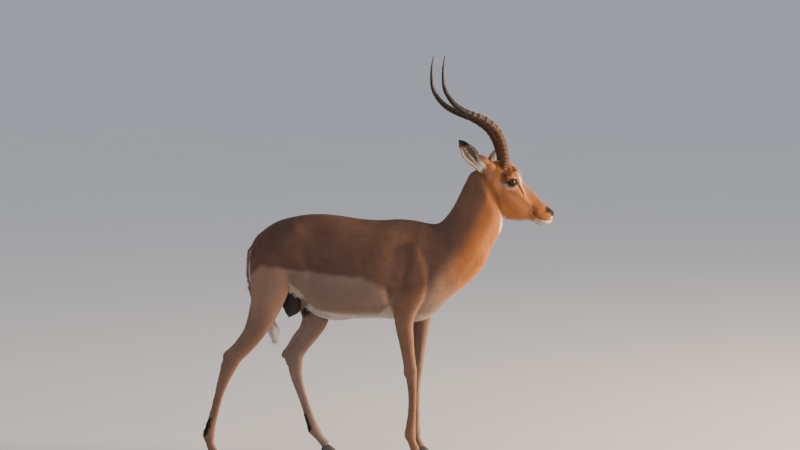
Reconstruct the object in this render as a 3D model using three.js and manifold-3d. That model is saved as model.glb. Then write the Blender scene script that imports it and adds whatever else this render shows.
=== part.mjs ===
// Adult male impala (Aepyceros melampus), standing, life size, as a museum model.
// Millimetres. +X is where the body points, +Y its left side, +Z up, and the floor is z = 0.
// Every form is a loft: stations along a line, each with its section's size, smoothed between stations.
// The forms of flesh are joined, then parted with thin cuts into head, neck, trunk and legs.
import * as THREE from "three";
import { mergeVertices } from "three/addons/utils/BufferGeometryUtils.js";
import Module from "manifold-3d";

const wasm = await Module();
wasm.setup();

// ---------------------------------------------------------------- driving sizes
const GAP = 0.4; // free space between neighbouring pieces
const CENTRE = [2.2, 41]; // middle of the animal's outline on the floor, which becomes the origin
const HEAD_TURN = THREE.MathUtils.degToRad(8); // the head looks this far to its left
const HEAD_TILT = THREE.MathUtils.degToRad(2.5); // and leans this far to its left
const TILT_HEIGHT = 960; // z of the line that it leans about
const NECK_PIVOT = 300; // x of the upright line that the neck turns about
const SHOULDER_HEIGHT = 872;
const FAR = 3000; // larger than the animal
const SMALLEST = 0.2; // details below this size are dropped from the meshes

// ---------------------------------------------------------------- lofts
// Smooth value of every column of `rows` at t from 0 to 1, by cubic pieces whose slopes come from the
// neighbouring rows. `knots` says how far along each row lies.
function smoothRow(rows, knots, t) {
  const last = rows.length - 1;
  const x = t * knots[last];
  let i = 0;
  while (i < last - 1 && x > knots[i + 1]) i++;
  const step = (k) => knots[k + 1] - knots[k];
  const rise = (k, c) => (rows[k + 1][c] - rows[k][c]) / step(k);
  const slope = (k, c) => {
    if (k === 0) return rise(0, c);
    if (k === last) return rise(last - 1, c);
    return (step(k) * rise(k - 1, c) + step(k - 1) * rise(k, c)) / (step(k - 1) + step(k));
  };
  const h = step(i);
  const u = (x - knots[i]) / h;
  return rows[i].map((_, c) => {
    const a = rows[i][c] * (1 + 2 * u) * (1 - u) ** 2 + slope(i, c) * h * u * (1 - u) ** 2;
    const b = rows[i + 1][c] * u * u * (3 - 2 * u) + slope(i + 1, c) * h * u * u * (u - 1);
    return a + b;
  });
}

// Distance along the line through the rows' first `dims` columns.
function distances(rows, dims) {
  const out = [0];
  for (let i = 1; i < rows.length; i++) {
    const d = Math.hypot(...Array.from({ length: dims }, (_, c) => rows[i][c] - rows[i - 1][c]));
    out.push(out[i - 1] + Math.max(d, 1));
  }
  return out;
}

const bent = (value, power) => Math.sign(value) * Math.abs(value) ** power;

// One section's outline: a superellipse with half sizes `up` and `side`, wider above by `egg`.
function outline({ centre, up, side, egg = 0, square = 2 }, sides) {
  return Array.from({ length: sides }, (_, k) => {
    const angle = (2 * Math.PI * k) / sides;
    const high = bent(Math.sin(angle), 2 / square);
    const wide = bent(Math.cos(angle), 2 / square) * (1 + egg * high);
    return centre.clone().addScaledVector(side, wide).addScaledVector(up, high);
  });
}

// A closed solid over a list of rings. Each end is a fan to the middle of its last ring.
function skinOver(rings) {
  const sides = rings[0].length;
  const middle = (ring) => ring.reduce((sum, p) => sum.add(p), new THREE.Vector3()).divideScalar(sides);
  const points = [...rings.flat(), middle(rings[0]), middle(rings[rings.length - 1])];
  const first = rings.length * sides;
  const faces = [];
  for (let k = 0; k < sides; k++) {
    const next = (k + 1) % sides;
    faces.push([first, next, k], [first + 1, first - sides + k, first - sides + next]);
    for (let r = 0; r + 1 < rings.length; r++) {
      const [a, b, c, d] = [r * sides + k, r * sides + next, (r + 1) * sides + k, (r + 1) * sides + next];
      faces.push([a, b, d], [a, d, c]);
    }
  }
  const geometry = new THREE.BufferGeometry().setFromPoints(points);
  geometry.setIndex(faces.flat());
  return solidOf(geometry);
}

// A closed geometry as a manifold-3d solid, facing outwards.
function solidOf(geometry) {
  const bare = geometry.clone();
  bare.deleteAttribute("normal");
  bare.deleteAttribute("uv");
  const merged = mergeVertices(bare, 1e-3);
  const vertProperties = merged.attributes.position.array;
  const triVerts = new Uint32Array(merged.index.array);
  const made = new wasm.Manifold(new wasm.Mesh({ numProp: 3, vertProperties, triVerts }));
  if (made.volume() > 0) return made;
  triVerts.reverse();
  return new wasm.Manifold(new wasm.Mesh({ numProp: 3, vertProperties, triVerts }));
}

// Rings of a form whose sections are drawn across the side view, from a point on its upper outline to one
// on its lower outline. Rows: [upper x, upper z, lower x, lower z, half width, egg, square].
function ringsAcross(rows, { perGap, sides, grow = 0, y = 0, ends = [0, 0] }) {
  const middles = rows.map((r) => [(r[0] + r[2]) / 2, (r[1] + r[3]) / 2]);
  const knots = distances(middles, 2);
  const count = (rows.length - 1) * perGap;
  const sections = [];
  for (let i = 0; i <= count; i++) {
    const row = i / perGap;
    const k = Math.min(Math.floor(row), rows.length - 2);
    const t = (knots[k] + (row - k) * (knots[k + 1] - knots[k])) / knots[rows.length - 1];
    const [ux, uz, lx, lz, half, egg = 0, square = 2] = smoothRow(rows, knots, t);
    const up = new THREE.Vector3((ux - lx) / 2, 0, (uz - lz) / 2);
    up.setLength(up.length() + grow);
    const centre = new THREE.Vector3((ux + lx) / 2, y, (uz + lz) / 2);
    sections.push({ centre, up, side: new THREE.Vector3(0, half + grow, 0), egg, square });
  }
  return ringsOf(sections, sides, ends.map((end) => end + grow));
}

// Rings of a form that follows a line in space. Rows: [x, y, z, half depth, half width, square], where the
// depth lies along `front` as nearly as a section square to the line allows.
function ringsAlong(rows, { perGap, sides, grow = 0, front = [1, 0, 0], ends = [0, 0] }) {
  const knots = distances(rows, 3);
  const count = (rows.length - 1) * perGap;
  const total = knots[rows.length - 1];
  const at = (t) => smoothRow(rows, knots, THREE.MathUtils.clamp(t, 0, 1));
  const sections = [];
  for (let i = 0; i <= count; i++) {
    const row = i / perGap;
    const k = Math.min(Math.floor(row), rows.length - 2);
    const t = (knots[k] + (row - k) * (knots[k + 1] - knots[k])) / total;
    const [x, y, z, deep, wide, square = 2] = at(t);
    const before = at(t - 0.01);
    const after = at(t + 0.01);
    const way = new THREE.Vector3(...[0, 1, 2].map((c) => after[c] - before[c])).normalize();
    const up = new THREE.Vector3(...front);
    up.addScaledVector(way, -up.dot(way)).setLength(deep + grow);
    const side = new THREE.Vector3().crossVectors(way, up).setLength(wide + grow);
    sections.push({ centre: new THREE.Vector3(x, y, z), up, side, square });
  }
  return ringsOf(sections, sides, ends.map((end) => end + grow));
}

// The outlines of the sections, with a dome of two more rings on each end that has a height in `ends`.
function ringsOf(sections, sides, ends) {
  const dome = (section, inner, height) => {
    const way = section.centre.clone().sub(inner.centre).normalize();
    return [0.5, 0.87].map((rise) => {
      const share = Math.sqrt(1 - rise * rise);
      const centre = section.centre.clone().addScaledVector(way, height * rise);
      const up = section.up.clone().multiplyScalar(share);
      const side = section.side.clone().multiplyScalar(share);
      return { ...section, centre, up, side };
    });
  };
  const n = sections.length;
  const head = ends[0] > 1 ? dome(sections[0], sections[1], ends[0]).reverse() : [];
  const tail = ends[1] > 1 ? dome(sections[n - 1], sections[n - 2], ends[1]) : [];
  return [...head, ...sections, ...tail].map((section) => outline(section, sides));
}

// An egg-shaped lump with half sizes [x, y, z], leaning by `pitch` degrees in the side view.
function lump(at, half, pitch = 0, grow = 0, detail = 10) {
  const geometry = new THREE.SphereGeometry(1, detail, Math.round(detail * 0.6));
  geometry.scale(...half.map((h) => h + grow));
  geometry.rotateY(THREE.MathUtils.degToRad(-pitch));
  geometry.translate(...at);
  return solidOf(geometry);
}

const join = (...solids) => solids.reduce((a, b) => a.add(b));

// All that lies on the side of a plane that `normal` points to.
function beyond(point, normal) {
  const geometry = new THREE.BoxGeometry(FAR, FAR, FAR);
  geometry.translate(0, 0, FAR / 2);
  const way = new THREE.Vector3(...normal).normalize();
  geometry.applyQuaternion(new THREE.Quaternion().setFromUnitVectors(new THREE.Vector3(0, 0, 1), way));
  geometry.translate(...new THREE.Vector3(...point).addScaledVector(way, GAP / 2));
  return solidOf(geometry);
}

// ---------------------------------------------------------------- the turn of neck and head
// Each point of the neck leans and turns, a little at the chest and fully at the throat.
const TURN_FROM = 60;
const TURN_TO = 270;

function turned(point) {
  const reach = (point.x - 220) * 0.57 + (point.z - 700) * 0.82;
  const share = THREE.MathUtils.smoothstep(reach, TURN_FROM, TURN_TO);
  point.sub(new THREE.Vector3(NECK_PIVOT, 0, TILT_HEIGHT));
  point.applyEuler(new THREE.Euler(-HEAD_TILT * share, 0, HEAD_TURN * share, "ZYX"));
  return point.add(new THREE.Vector3(NECK_PIVOT, 0, TILT_HEIGHT));
}

const turnedRings = (rings) => rings.map((ring) => ring.map(turned));

function turnedSolid(solid) {
  const mesh = solid.getMesh();
  const point = new THREE.Vector3();
  const vertProperties = mesh.vertProperties.slice();
  for (let i = 0; i < vertProperties.length; i += 3) {
    turned(point.fromArray(vertProperties, i)).toArray(vertProperties, i);
  }
  return new wasm.Manifold(new wasm.Mesh({ numProp: 3, vertProperties, triVerts: mesh.triVerts }));
}

// ---------------------------------------------------------------- trunk and neck
// One form from the rump to the throat. The rows fan out where the back turns up into the neck.
// [upper x, upper z, lower x, lower z, half width, egg, square]
const TORSO = [
  [-464, 772, -458, 650, 36, 0, 2], // tail head
  [-446, 803, -445, 630, 66, 0, 2],
  [-416, 832, -409, 618, 88, 0.05, 2.1],
  [-358, 867, -343, 608, 101, 0.08, 2.2], // hips
  [-285, SHOULDER_HEIGHT + 13, -285, 590, 106, 0.02, 2.2],
  [-212, SHOULDER_HEIGHT + 19, -219, 540, 112, -0.04, 2.15], // loin
  [-139, SHOULDER_HEIGHT + 13, -146, 513, 120, -0.08, 2.1],
  [-66, SHOULDER_HEIGHT + 2, -69, 508, 124, -0.1, 2.1], // last ribs
  [7, SHOULDER_HEIGHT - 3, 7, 509, 121, -0.1, 2.1],
  [80, SHOULDER_HEIGHT, 80, 504, 108, -0.08, 2.05], // shoulder blades
  [135, SHOULDER_HEIGHT - 5, 146, 496, 95, -0.06, 2],
  [179, SHOULDER_HEIGHT - 14, 202, 522, 86, -0.05, 2], // withers to breastbone
  [212, SHOULDER_HEIGHT - 16, 256, 579, 79, -0.06, 2],
  [230, SHOULDER_HEIGHT - 9, 307, 620, 73, -0.08, 2],
  [248, 881, 358, 666, 68, -0.08, 2],
  [263, 900, 391, 710, 63, -0.06, 2],
  [281, 929, 412, 761, 58, -0.03, 2], // middle of the neck
  [299, 965, 438, 805, 54, 0, 2],
  [321, 1009, 453, 841, 51, 0, 2],
  [347, 1046, 456, 885, 50, 0, 2], // throat
  [384, 1062, 452, 915, 46, 0, 2],
];
const torso = (grow = 0) =>
  skinOver(turnedRings(ringsAcross(TORSO, { perGap: 1, sides: 26, grow, ends: [14, 10] })));

// Breastbone between the forelegs, and the fold of skin that runs along the belly to the sheath.
const SHEATH = [
  [-90, 0, 517, 10, 16],
  [-160, 0, 515, 14, 15],
  [-215, 0, 530, 15, 14],
  [-250, 0, 548, 15, 12],
  [-262, 0, 536, 9, 8],
];
const sheath = (grow = 0) =>
  skinOver(ringsAlong(SHEATH, { perGap: 1, sides: 8, grow, front: [0, 0, 1], ends: [3, 7] }));

// ---------------------------------------------------------------- head
// The skull and muzzle, from the back of the head to the nose. Rows as in TORSO.
const SKULL = [
  [387, 1064, 387, 980, 38, 0, 2], // back of the head
  [416, 1080, 395, 931, 47, 0.05, 2],
  [453, 1086, 418, 892, 50, 0.12, 2.1], // crown
  [485, 1078, 450, 873, 50, 0.18, 2.2],
  [507, 1056, 478, 867, 48, 0.22, 2.2], // forehead
  [521, 1030, 504, 862, 44, 0.22, 2.2],
  [535, 1005, 524, 862, 39, 0.18, 2.2],
  [552, 985, 541, 864, 34.5, 0.1, 2.2], // bridge of the nose
  [575, 964, 558, 862, 30.5, 0.02, 2.2],
  [597, 941, 577, 853, 28, -0.04, 2.2],
  [614, 925, 595, 846, 27, -0.06, 2.2], // lips
  [629, 913, 615, 848, 25, -0.04, 2.2],
  [639, 901, 631, 856, 19, 0, 2.1],
];
// Lumps on one side of the head: [x, y, z], half sizes, lean in degrees.
const HEAD_LUMPS = [
  [[478, 40, 1012], [32, 17.5, 27], -40], // rim of the eye socket
  [[452, 30, 930], [44, 19, 42], 10], // chewing muscle
  [[436, 31, 1030], [36, 19, 36], 0], // temple
  [[512, 32, 968], [40, 13, 17], -42], // cheekbone
  [[623, 14, 892], [15, 12, 16], -40], // wing of the nostril
  [[378, 27, 1082], [34, 19, 22], -35], // muscle at the foot of the ear
];
const mirror = (at) => [at[0], -at[1], at[2]];

function headFlesh() {
  let made = skinOver(ringsAcross(SKULL, { perGap: 1, sides: 20, ends: [22, 9] }));
  for (const [at, half, pitch] of HEAD_LUMPS) {
    made = join(made, lump(at, half, pitch), lump(mirror(at), half, pitch));
  }
  return turnedSolid(made);
}

// Eyeballs, sunk between the lids.
const EYE = { at: [482, 42.5, 1006], radius: 17.5 };
const eye = (side, grow = 0) =>
  turnedSolid(
    lump([EYE.at[0], side * EYE.at[1], EYE.at[2]], [EYE.radius, EYE.radius, EYE.radius], 0, grow, 14),
  );

// Nostrils: a slit on each side of the nose.
const nostril = (side) => turnedSolid(lump([634, side * 17, 896], [12, 6, 5], -52, 0, 10));

// ---------------------------------------------------------------- horns
// Lyre-shaped and ringed: back and out from the crown, then up to the tips.
// [x, y, z, half depth, half width]
const HORN = [
  [453, 29, 1050, 17.5, 15.5],
  [458, 32, 1082, 18, 16],
  [452, 46, 1126, 17.5, 15.5],
  [440, 61, 1163, 17, 15],
  [421, 78, 1195, 16, 14.5],
  [392, 98, 1221, 15, 14],
  [358, 115, 1241, 14, 13],
  [323, 128, 1254, 12.5, 12],
  [289, 137, 1270, 11, 10.6],
  [260, 143, 1291, 9.6, 9.3],
  [239, 146, 1316, 8.3, 8.1],
  [223, 146, 1347, 7, 6.8],
  [218, 144, 1382, 5.5, 5.3],
  [218, 142, 1420, 4, 3.9],
  [225, 140, 1468, 1.2, 1.2],
];
const RINGS = 13; // raised rings on the lower two thirds
const RINGED = 0.66;
const RING_HEIGHT = 2.4;

function horn(side, grow = 0) {
  const rows = HORN.map(([x, y, ...rest]) => [x, y * side, ...rest]);
  const knots = distances(rows, 3);
  const stops = [0];
  for (let i = 0; i < RINGS; i++) stops.push((RINGED * (i + 0.35)) / RINGS, (RINGED * (i + 0.75)) / RINGS);
  const plain = 9;
  for (let i = 1; i <= plain; i++) stops.push(RINGED + ((1 - RINGED) * i) / plain);
  const raised = stops.map((t, i) => (i > 0 && i % 2 === 0 && t < RINGED ? RING_HEIGHT : 0));
  const sampled = stops.map((t, i) => {
    const row = smoothRow(rows, knots, t);
    return [row[0], row[1], row[2], row[3] + raised[i] + grow, row[4] + raised[i] * 0.6 + grow];
  });
  const ends = [grow > 0 ? 3 : 0, 0];
  return skinOver(turnedRings(ringsAlong(sampled, { perGap: 1, sides: 8, front: [0.8, 0, 0.6], ends })));
}

// ---------------------------------------------------------------- ears
// A leaf-shaped cup on a short stalk. `out` points from the base to the tip, `open` where the cup opens.
const EAR_LENGTH = 190; // of which the first tenth is in the head
const EAR_WALL = 4;
const EAR_RINGS = 10;
// [share of the length, half width, depth of the cup]
const EAR_ROWS = [
  [0, 12, 12],
  [0.1, 13, 14],
  [0.22, 15, 17],
  [0.36, 20, 19],
  [0.46, 27, 19],
  [0.57, 31, 18],
  [0.67, 28, 16],
  [0.8, 19, 12],
  [0.92, 12, 7],
  [1, 4, 3],
];
const EARS = {
  right: { base: [399, -36, 1026], out: [-117, -60, 136], open: [0.1, -0.97, -0.25] },
  left: { base: [399, 36, 1026], out: [75, 164, 110], open: [0.8, -0.25, -0.3] },
};

function ear(which, grow = 0) {
  const { base, out, open } = EARS[which];
  const along = new THREE.Vector3(...out).normalize();
  const cup = new THREE.Vector3(...open);
  cup.addScaledVector(along, -cup.dot(along)).normalize();
  const across = new THREE.Vector3().crossVectors(along, cup);
  const knots = distances(EAR_ROWS.map((r) => [r[0] * 100]), 1);
  const arc = 7;
  const rings = Array.from({ length: EAR_RINGS }, (_, i) => {
    const [share, half, depth] = smoothRow(EAR_ROWS, knots, i / (EAR_RINGS - 1));
    const centre = new THREE.Vector3(...base).addScaledVector(along, share * EAR_LENGTH + (2 * share - 1) * grow);
    const closed = 1 - THREE.MathUtils.smoothstep(share, 0.05, 0.35);
    const thick = Math.min(EAR_WALL, half * 0.6);
    const at = (k, x, y) => {
      const bend = Math.PI * 0.46 * ((2 * k) / (arc - 1) - 1);
      return centre.clone().addScaledVector(across, Math.sin(bend) * x).addScaledVector(cup, -Math.cos(bend) * y);
    };
    // The outer wall from edge to edge, then the inner wall back. At the stalk the cup is filled in.
    const outer = Array.from({ length: arc }, (_, k) => at(k, half + grow, depth + grow));
    const inner = Array.from({ length: arc }, (_, k) => {
      const hollow = at(arc - 1 - k, half - thick - grow, depth - thick - grow);
      return hollow.lerp(at(arc - 1 - k, half + grow, -0.7 * depth - grow), closed);
    });
    return [...outer, ...inner];
  });
  return skinOver(turnedRings(rings));
}

// ---------------------------------------------------------------- tail
// Hangs from the rump and swings in between the hind legs. [x, y, z, half depth, half width]
const TAIL = [
  [-455, 0, 768, 9, 15],
  [-468, 0, 735, 10, 16],
  [-472, 0, 700, 10, 15],
  [-471, 0, 655, 9, 14],
  [-462, 0, 608, 10, 14],
  [-441, 0, 560, 13, 15],
  [-413, 0, 515, 17, 16],
  [-387, 0, 473, 16, 15],
  [-377, 0, 430, 4, 4],
];
const tail = (grow = 0) => skinOver(ringsAlong(TAIL, { perGap: 1, sides: 10, grow, ends: [0, 4] }));

// ---------------------------------------------------------------- scrotum
// [x, y, z, half depth, half width]
const SCROTUM = [
  [-318, 0, 640, 20, 16],
  [-316, 0, 600, 27, 24],
  [-315, 0, 568, 34, 33],
  [-317, 0, 543, 33, 33],
  [-322, 0, 527, 20, 22],
  [-325, 0, 516, 7, 9],
];
const scrotum = (grow = 0) =>
  skinOver(ringsAlong(SCROTUM, { perGap: 1, sides: 12, grow, ends: [0, 4] }));

// ---------------------------------------------------------------- legs
// Where each leg's middle line runs, [x, y, z] with y outwards, and the shared thickness of each joint.
const FORELEG_SIZES = {
  blade: [50, 12], // half depth, half width
  shoulder: [70, 28],
  upperArm: [64, 34],
  elbow: [43, 30],
  forearm: [36, 27],
  lowerForearm: [28, 21.5],
  aboveKnee: [24, 19.5],
  knee: [23, 20],
  belowKnee: [18, 16.5],
  cannon: [15.5, 13],
  lowerCannon: [16, 14],
  aboveFetlock: [18.5, 17],
  fetlock: [21.5, 20],
  pastern: [17, 18],
  coronet: [19, 22],
};
const HINDLEG_SIZES = {
  rump: [58, 26],
  hip: [84, 42],
  thigh: [80, 45],
  stifle: [74, 42],
  lowerThigh: [60, 36],
  gaskin: [52, 31],
  lowerGaskin: [39, 25],
  aboveHock: [34, 20],
  hock: [32, 20],
  belowHock: [28, 19],
  upperCannon: [23, 15.5],
  cannon: [17.5, 13],
  lowerCannon: [16.5, 13.5],
  aboveFetlock: [18.5, 17],
  fetlock: [21.5, 19.5],
  pastern: [17, 17.5],
  coronet: [18.5, 21.5],
};
// `cut` is a point on the plane that parts the leg from the trunk, and the way up from that plane.
const LEGS = {
  foreleg_right: {
    side: -1,
    sizes: FORELEG_SIZES,
    cut: [[100, 0, 553], [0.1, 0, 1]],
    line: {
      blade: [90, 74, 775],
      shoulder: [116, 76, 690],
      upperArm: [112, 72, 610],
      elbow: [98, 68, 545],
      forearm: [95, 66, 505],
      lowerForearm: [103, 63, 430],
      aboveKnee: [112, 61, 365],
      knee: [119, 60, 318],
      belowKnee: [123, 60, 272],
      cannon: [125, 60, 215],
      lowerCannon: [123, 60, 160],
      aboveFetlock: [119, 60, 115],
      fetlock: [117, 60, 88],
      pastern: [125, 60, 56],
      coronet: [135, 60, 32],
    },
    foot: 139,
  },
  foreleg_left: {
    side: 1,
    sizes: FORELEG_SIZES,
    cut: [[130, 0, 549], [0.1, 0, 1]],
    line: {
      blade: [102, 74, 775],
      shoulder: [138, 76, 690],
      upperArm: [152, 72, 610],
      elbow: [158, 68, 545],
      forearm: [159, 66, 500],
      lowerForearm: [153, 63, 430],
      aboveKnee: [146, 61, 360],
      knee: [141, 60, 314],
      belowKnee: [139, 60, 268],
      cannon: [138, 60, 212],
      lowerCannon: [137, 60, 158],
      aboveFetlock: [135, 60, 113],
      fetlock: [136, 60, 86],
      pastern: [144, 60, 54],
      coronet: [154, 60, 32],
    },
    foot: 158,
  },
  hindleg_right: {
    side: -1,
    sizes: HINDLEG_SIZES,
    cut: [[-390, 0, 645], [-0.1, 0, 1]],
    heel: [
      [[-549, 389], [27, 12, 12], 47],
      [[-521, 411], [44, 11, 11], 46],
      [[-562, 341], [30, 11, 11], 80],
    ],
    line: {
      rump: [-370, 52, 805],
      hip: [-382, 58, 740],
      thigh: [-388, 60, 690],
      stifle: [-393, 62, 636],
      lowerThigh: [-406, 66, 572],
      gaskin: [-421, 68, 530],
      lowerGaskin: [-455, 68, 458],
      aboveHock: [-492, 66, 410],
      hock: [-527, 65, 372],
      belowHock: [-546, 64, 332],
      upperCannon: [-561, 64, 294],
      cannon: [-579, 64, 238],
      lowerCannon: [-597, 64, 170],
      aboveFetlock: [-611, 64, 115],
      fetlock: [-617, 64, 86],
      pastern: [-613, 64, 55],
      coronet: [-604, 64, 32],
    },
    foot: -598,
  },
  hindleg_left: {
    side: 1,
    sizes: HINDLEG_SIZES,
    cut: [[-280, 0, 640], [-0.2, 0, 1]],
    heel: [
      [[-336, 392], [27, 12, 12], 50],
      [[-311, 430], [60, 11, 11], 57],
      [[-334, 352], [26, 11, 10], -68],
    ],
    line: {
      rump: [-368, 52, 805],
      hip: [-348, 58, 740],
      thigh: [-314, 60, 690],
      stifle: [-272, 64, 632],
      lowerThigh: [-238, 68, 560],
      gaskin: [-230, 70, 510],
      lowerGaskin: [-258, 69, 444],
      aboveHock: [-284, 67, 405],
      hock: [-304, 66, 368],
      belowHock: [-305, 65, 330],
      upperCannon: [-301, 64, 292],
      cannon: [-284, 64, 232],
      lowerCannon: [-263, 64, 168],
      aboveFetlock: [-245, 64, 116],
      fetlock: [-235, 64, 90],
      pastern: [-214, 64, 60],
      coronet: [-193, 64, 36],
    },
    foot: -186,
  },
};

function legRows({ side, sizes, line }) {
  return Object.keys(sizes).map((joint) => {
    const [x, y, z] = line[joint];
    return [x, side * y, z, ...sizes[joint]];
  });
}

// Behind the hock: the heel bone, the tendon above it and the bone below it. [x, z], half sizes, lean.
function heel({ side, line, heel }) {
  const y = side * line.hock[1];
  return join(...heel.map(([[x, z], half, lean]) => lump([x, y, z], half, lean, 0, 10)));
}

function leg(which) {
  const made = skinOver(ringsAlong(legRows(LEGS[which]), { perGap: 1, sides: 12 }));
  return which.startsWith("hind") ? join(made, heel(LEGS[which])) : made;
}

// ---------------------------------------------------------------- hooves
// Two pointed toes to each foot, flat below. [x from the foot's middle, half width, top height]
const HOOF = [
  [-20, 6, 15],
  [-14, 10, 25],
  [2, 11.5, 37],
  [16, 10.5, 33],
  [30, 7.5, 19],
  [40, 3, 6],
];
const TOE_SPREAD = 13.2;
const HOOF_PULL = 3; // how far the toes' tips draw in

function hoof({ side, foot, line }, toe, grow = 0) {
  const middle = side * line.coronet[1];
  const knots = distances(HOOF.map((r) => [r[0]]), 1);
  const rings = HOOF.map((_, i) => {
    const [x, half, top] = smoothRow(HOOF, knots, knots[i] / knots[HOOF.length - 1]);
    const pull = (HOOF_PULL * (x + 20)) / 60;
    const past = i === 0 ? -grow : grow * (i === HOOF.length - 1);
    const centre = new THREE.Vector3(foot + x + past, middle + toe * (TOE_SPREAD - pull), 0);
    const section = {
      centre,
      up: new THREE.Vector3(-0.25, 0, 1).multiplyScalar(top + grow),
      side: new THREE.Vector3(0, half + grow, 0),
      egg: -0.12,
      square: 2.3,
    };
    return outline(section, 10).map((p) => p.setZ(Math.max(p.z, grow > 0 ? -GAP : 0)));
  });
  return skinOver(rings);
}

// ---------------------------------------------------------------- put together
const COLOURS = {
  saddle: 0x8a5530,
  tan: 0xb98a5e,
  white: 0xe6ded2,
  dark: 0x2e2826,
  horn: 0x4a3a2c,
  eye: 0x120c09,
  hoof: 0x1e1a18,
};
const impala = new THREE.Group();
impala.position.set(-CENTRE[0], -CENTRE[1], 0);

function add(name, solid, colour, roughness = 0.85) {
  const { vertProperties, triVerts } = solid.simplify(SMALLEST).getMesh();
  const geometry = new THREE.BufferGeometry();
  geometry.setAttribute("position", new THREE.BufferAttribute(vertProperties, 3));
  geometry.setIndex(new THREE.BufferAttribute(triVerts, 1));
  geometry.computeVertexNormals();
  const mesh = new THREE.Mesh(geometry, new THREE.MeshStandardMaterial({ color: colour, roughness }));
  mesh.name = name;
  impala.add(mesh);
}

// The largest of the pieces that a cut leaves.
function main(solid) {
  return solid.decompose().reduce((a, b) => (a.volume() > b.volume() ? a : b));
}

const SIDES = { right: -1, left: 1 };

// Upper legs are joined to the trunk, and the lower legs are nodes of their own.
let body = join(torso(), sheath());
const lowerLegs = {};
for (const [name, spec] of Object.entries(LEGS)) {
  const whole = leg(name);
  const [point, normal] = spec.cut;
  body = join(body, whole.intersect(beyond(point, normal)));
  lowerLegs[name] = whole.intersect(beyond(point, normal.map((v) => -v))).subtract(torso(GAP));
}
body = body.subtract(tail(GAP)).subtract(scrotum(GAP));

// Cuts across the neck: [point, way to the head].
const NECK_CUT = [[262, 0, 720], [0.62, 0.05, 0.78]];
const HEAD_CUT = [[418, 0, 960], [0.86, 0.1, 0.5]];
const away = ([point, normal]) => beyond(point, normal.map((v) => -v));
const flesh = join(body, headFlesh());
let head = flesh.intersect(beyond(...HEAD_CUT));
const neck = flesh.intersect(beyond(...NECK_CUT)).intersect(away(HEAD_CUT));
const trunk = flesh.intersect(away(NECK_CUT));
let neckLeft = neck;
for (const side of Object.keys(SIDES)) {
  head = head.subtract(horn(SIDES[side], GAP)).subtract(eye(SIDES[side], GAP)).subtract(nostril(SIDES[side]));
  head = head.subtract(ear(side, GAP));
  neckLeft = neckLeft.subtract(ear(side, GAP));
}

add("trunk", main(trunk), COLOURS.saddle);
add("neck", main(neckLeft), COLOURS.saddle);
add("head", main(head), COLOURS.tan);
for (const [side, sign] of Object.entries(SIDES)) {
  add("ear_" + side, main(ear(side)), COLOURS.tan);
  add("eye_" + side, eye(sign), COLOURS.eye, 0.1);
  add("horn_" + side, horn(sign), COLOURS.horn, 0.5);
}
add("tail", tail(), COLOURS.white);
add("scrotum", scrotum(), COLOURS.dark);
for (const [name, spec] of Object.entries(LEGS)) {
  let lower = lowerLegs[name].subtract(scrotum(GAP)).subtract(tail(GAP));
  for (const [toeName, toe] of [["inner", -spec.side], ["outer", spec.side]]) {
    lower = lower.subtract(hoof(spec, toe, GAP));
    add(name.replace("leg", "hoof") + "_" + toeName, hoof(spec, toe), COLOURS.hoof, 0.35);
  }
  add(name, main(lower), COLOURS.tan);
}

export default impala;
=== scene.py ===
"""Adult male impala (Aepyceros melampus), standing, as a life-size museum model.

The shapes are worked out in millimetres with the head looking straight ahead: +X is where the body points,
+Y its left, +Z up, and the floor is z = 0. `settled` turns the neck and head and gives metres in the row
frame.
"""

import bpy
import numpy as np
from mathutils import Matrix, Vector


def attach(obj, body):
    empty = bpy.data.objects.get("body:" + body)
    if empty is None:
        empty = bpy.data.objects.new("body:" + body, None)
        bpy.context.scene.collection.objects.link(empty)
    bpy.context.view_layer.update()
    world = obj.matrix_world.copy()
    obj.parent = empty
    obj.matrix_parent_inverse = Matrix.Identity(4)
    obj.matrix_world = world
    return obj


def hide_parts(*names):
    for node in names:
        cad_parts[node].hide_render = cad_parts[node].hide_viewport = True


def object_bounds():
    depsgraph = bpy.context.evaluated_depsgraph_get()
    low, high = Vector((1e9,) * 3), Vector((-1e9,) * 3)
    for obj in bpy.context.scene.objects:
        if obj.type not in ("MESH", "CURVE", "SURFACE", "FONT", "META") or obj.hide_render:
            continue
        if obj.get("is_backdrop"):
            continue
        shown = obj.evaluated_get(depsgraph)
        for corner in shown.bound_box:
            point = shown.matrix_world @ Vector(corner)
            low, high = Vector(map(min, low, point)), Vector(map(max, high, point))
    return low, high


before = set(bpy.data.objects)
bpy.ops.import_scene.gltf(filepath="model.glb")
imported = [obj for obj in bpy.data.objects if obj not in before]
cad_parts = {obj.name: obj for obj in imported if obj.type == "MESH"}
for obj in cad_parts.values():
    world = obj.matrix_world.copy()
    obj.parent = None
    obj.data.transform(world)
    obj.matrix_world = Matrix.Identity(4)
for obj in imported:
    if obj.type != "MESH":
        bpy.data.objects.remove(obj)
cad_low, cad_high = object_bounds()
rng = np.random.default_rng(7)

# ---------------------------------------------------------------- camera
# A long lens far off, level with the flank and looking a little down, so that the side shows almost flat.
ORIGIN = np.array([2.2, 41.0, 0.0])  # the row frame's origin, in the millimetres of the tables below
CAMERA_AIM = np.array([80.0, 0.0, 850.0])
CAMERA_DISTANCE = 18.0
CAMERA_DROP = np.radians(4.5)
VIEW_WIDTH = 2.92  # metres across the picture at the animal

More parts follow.
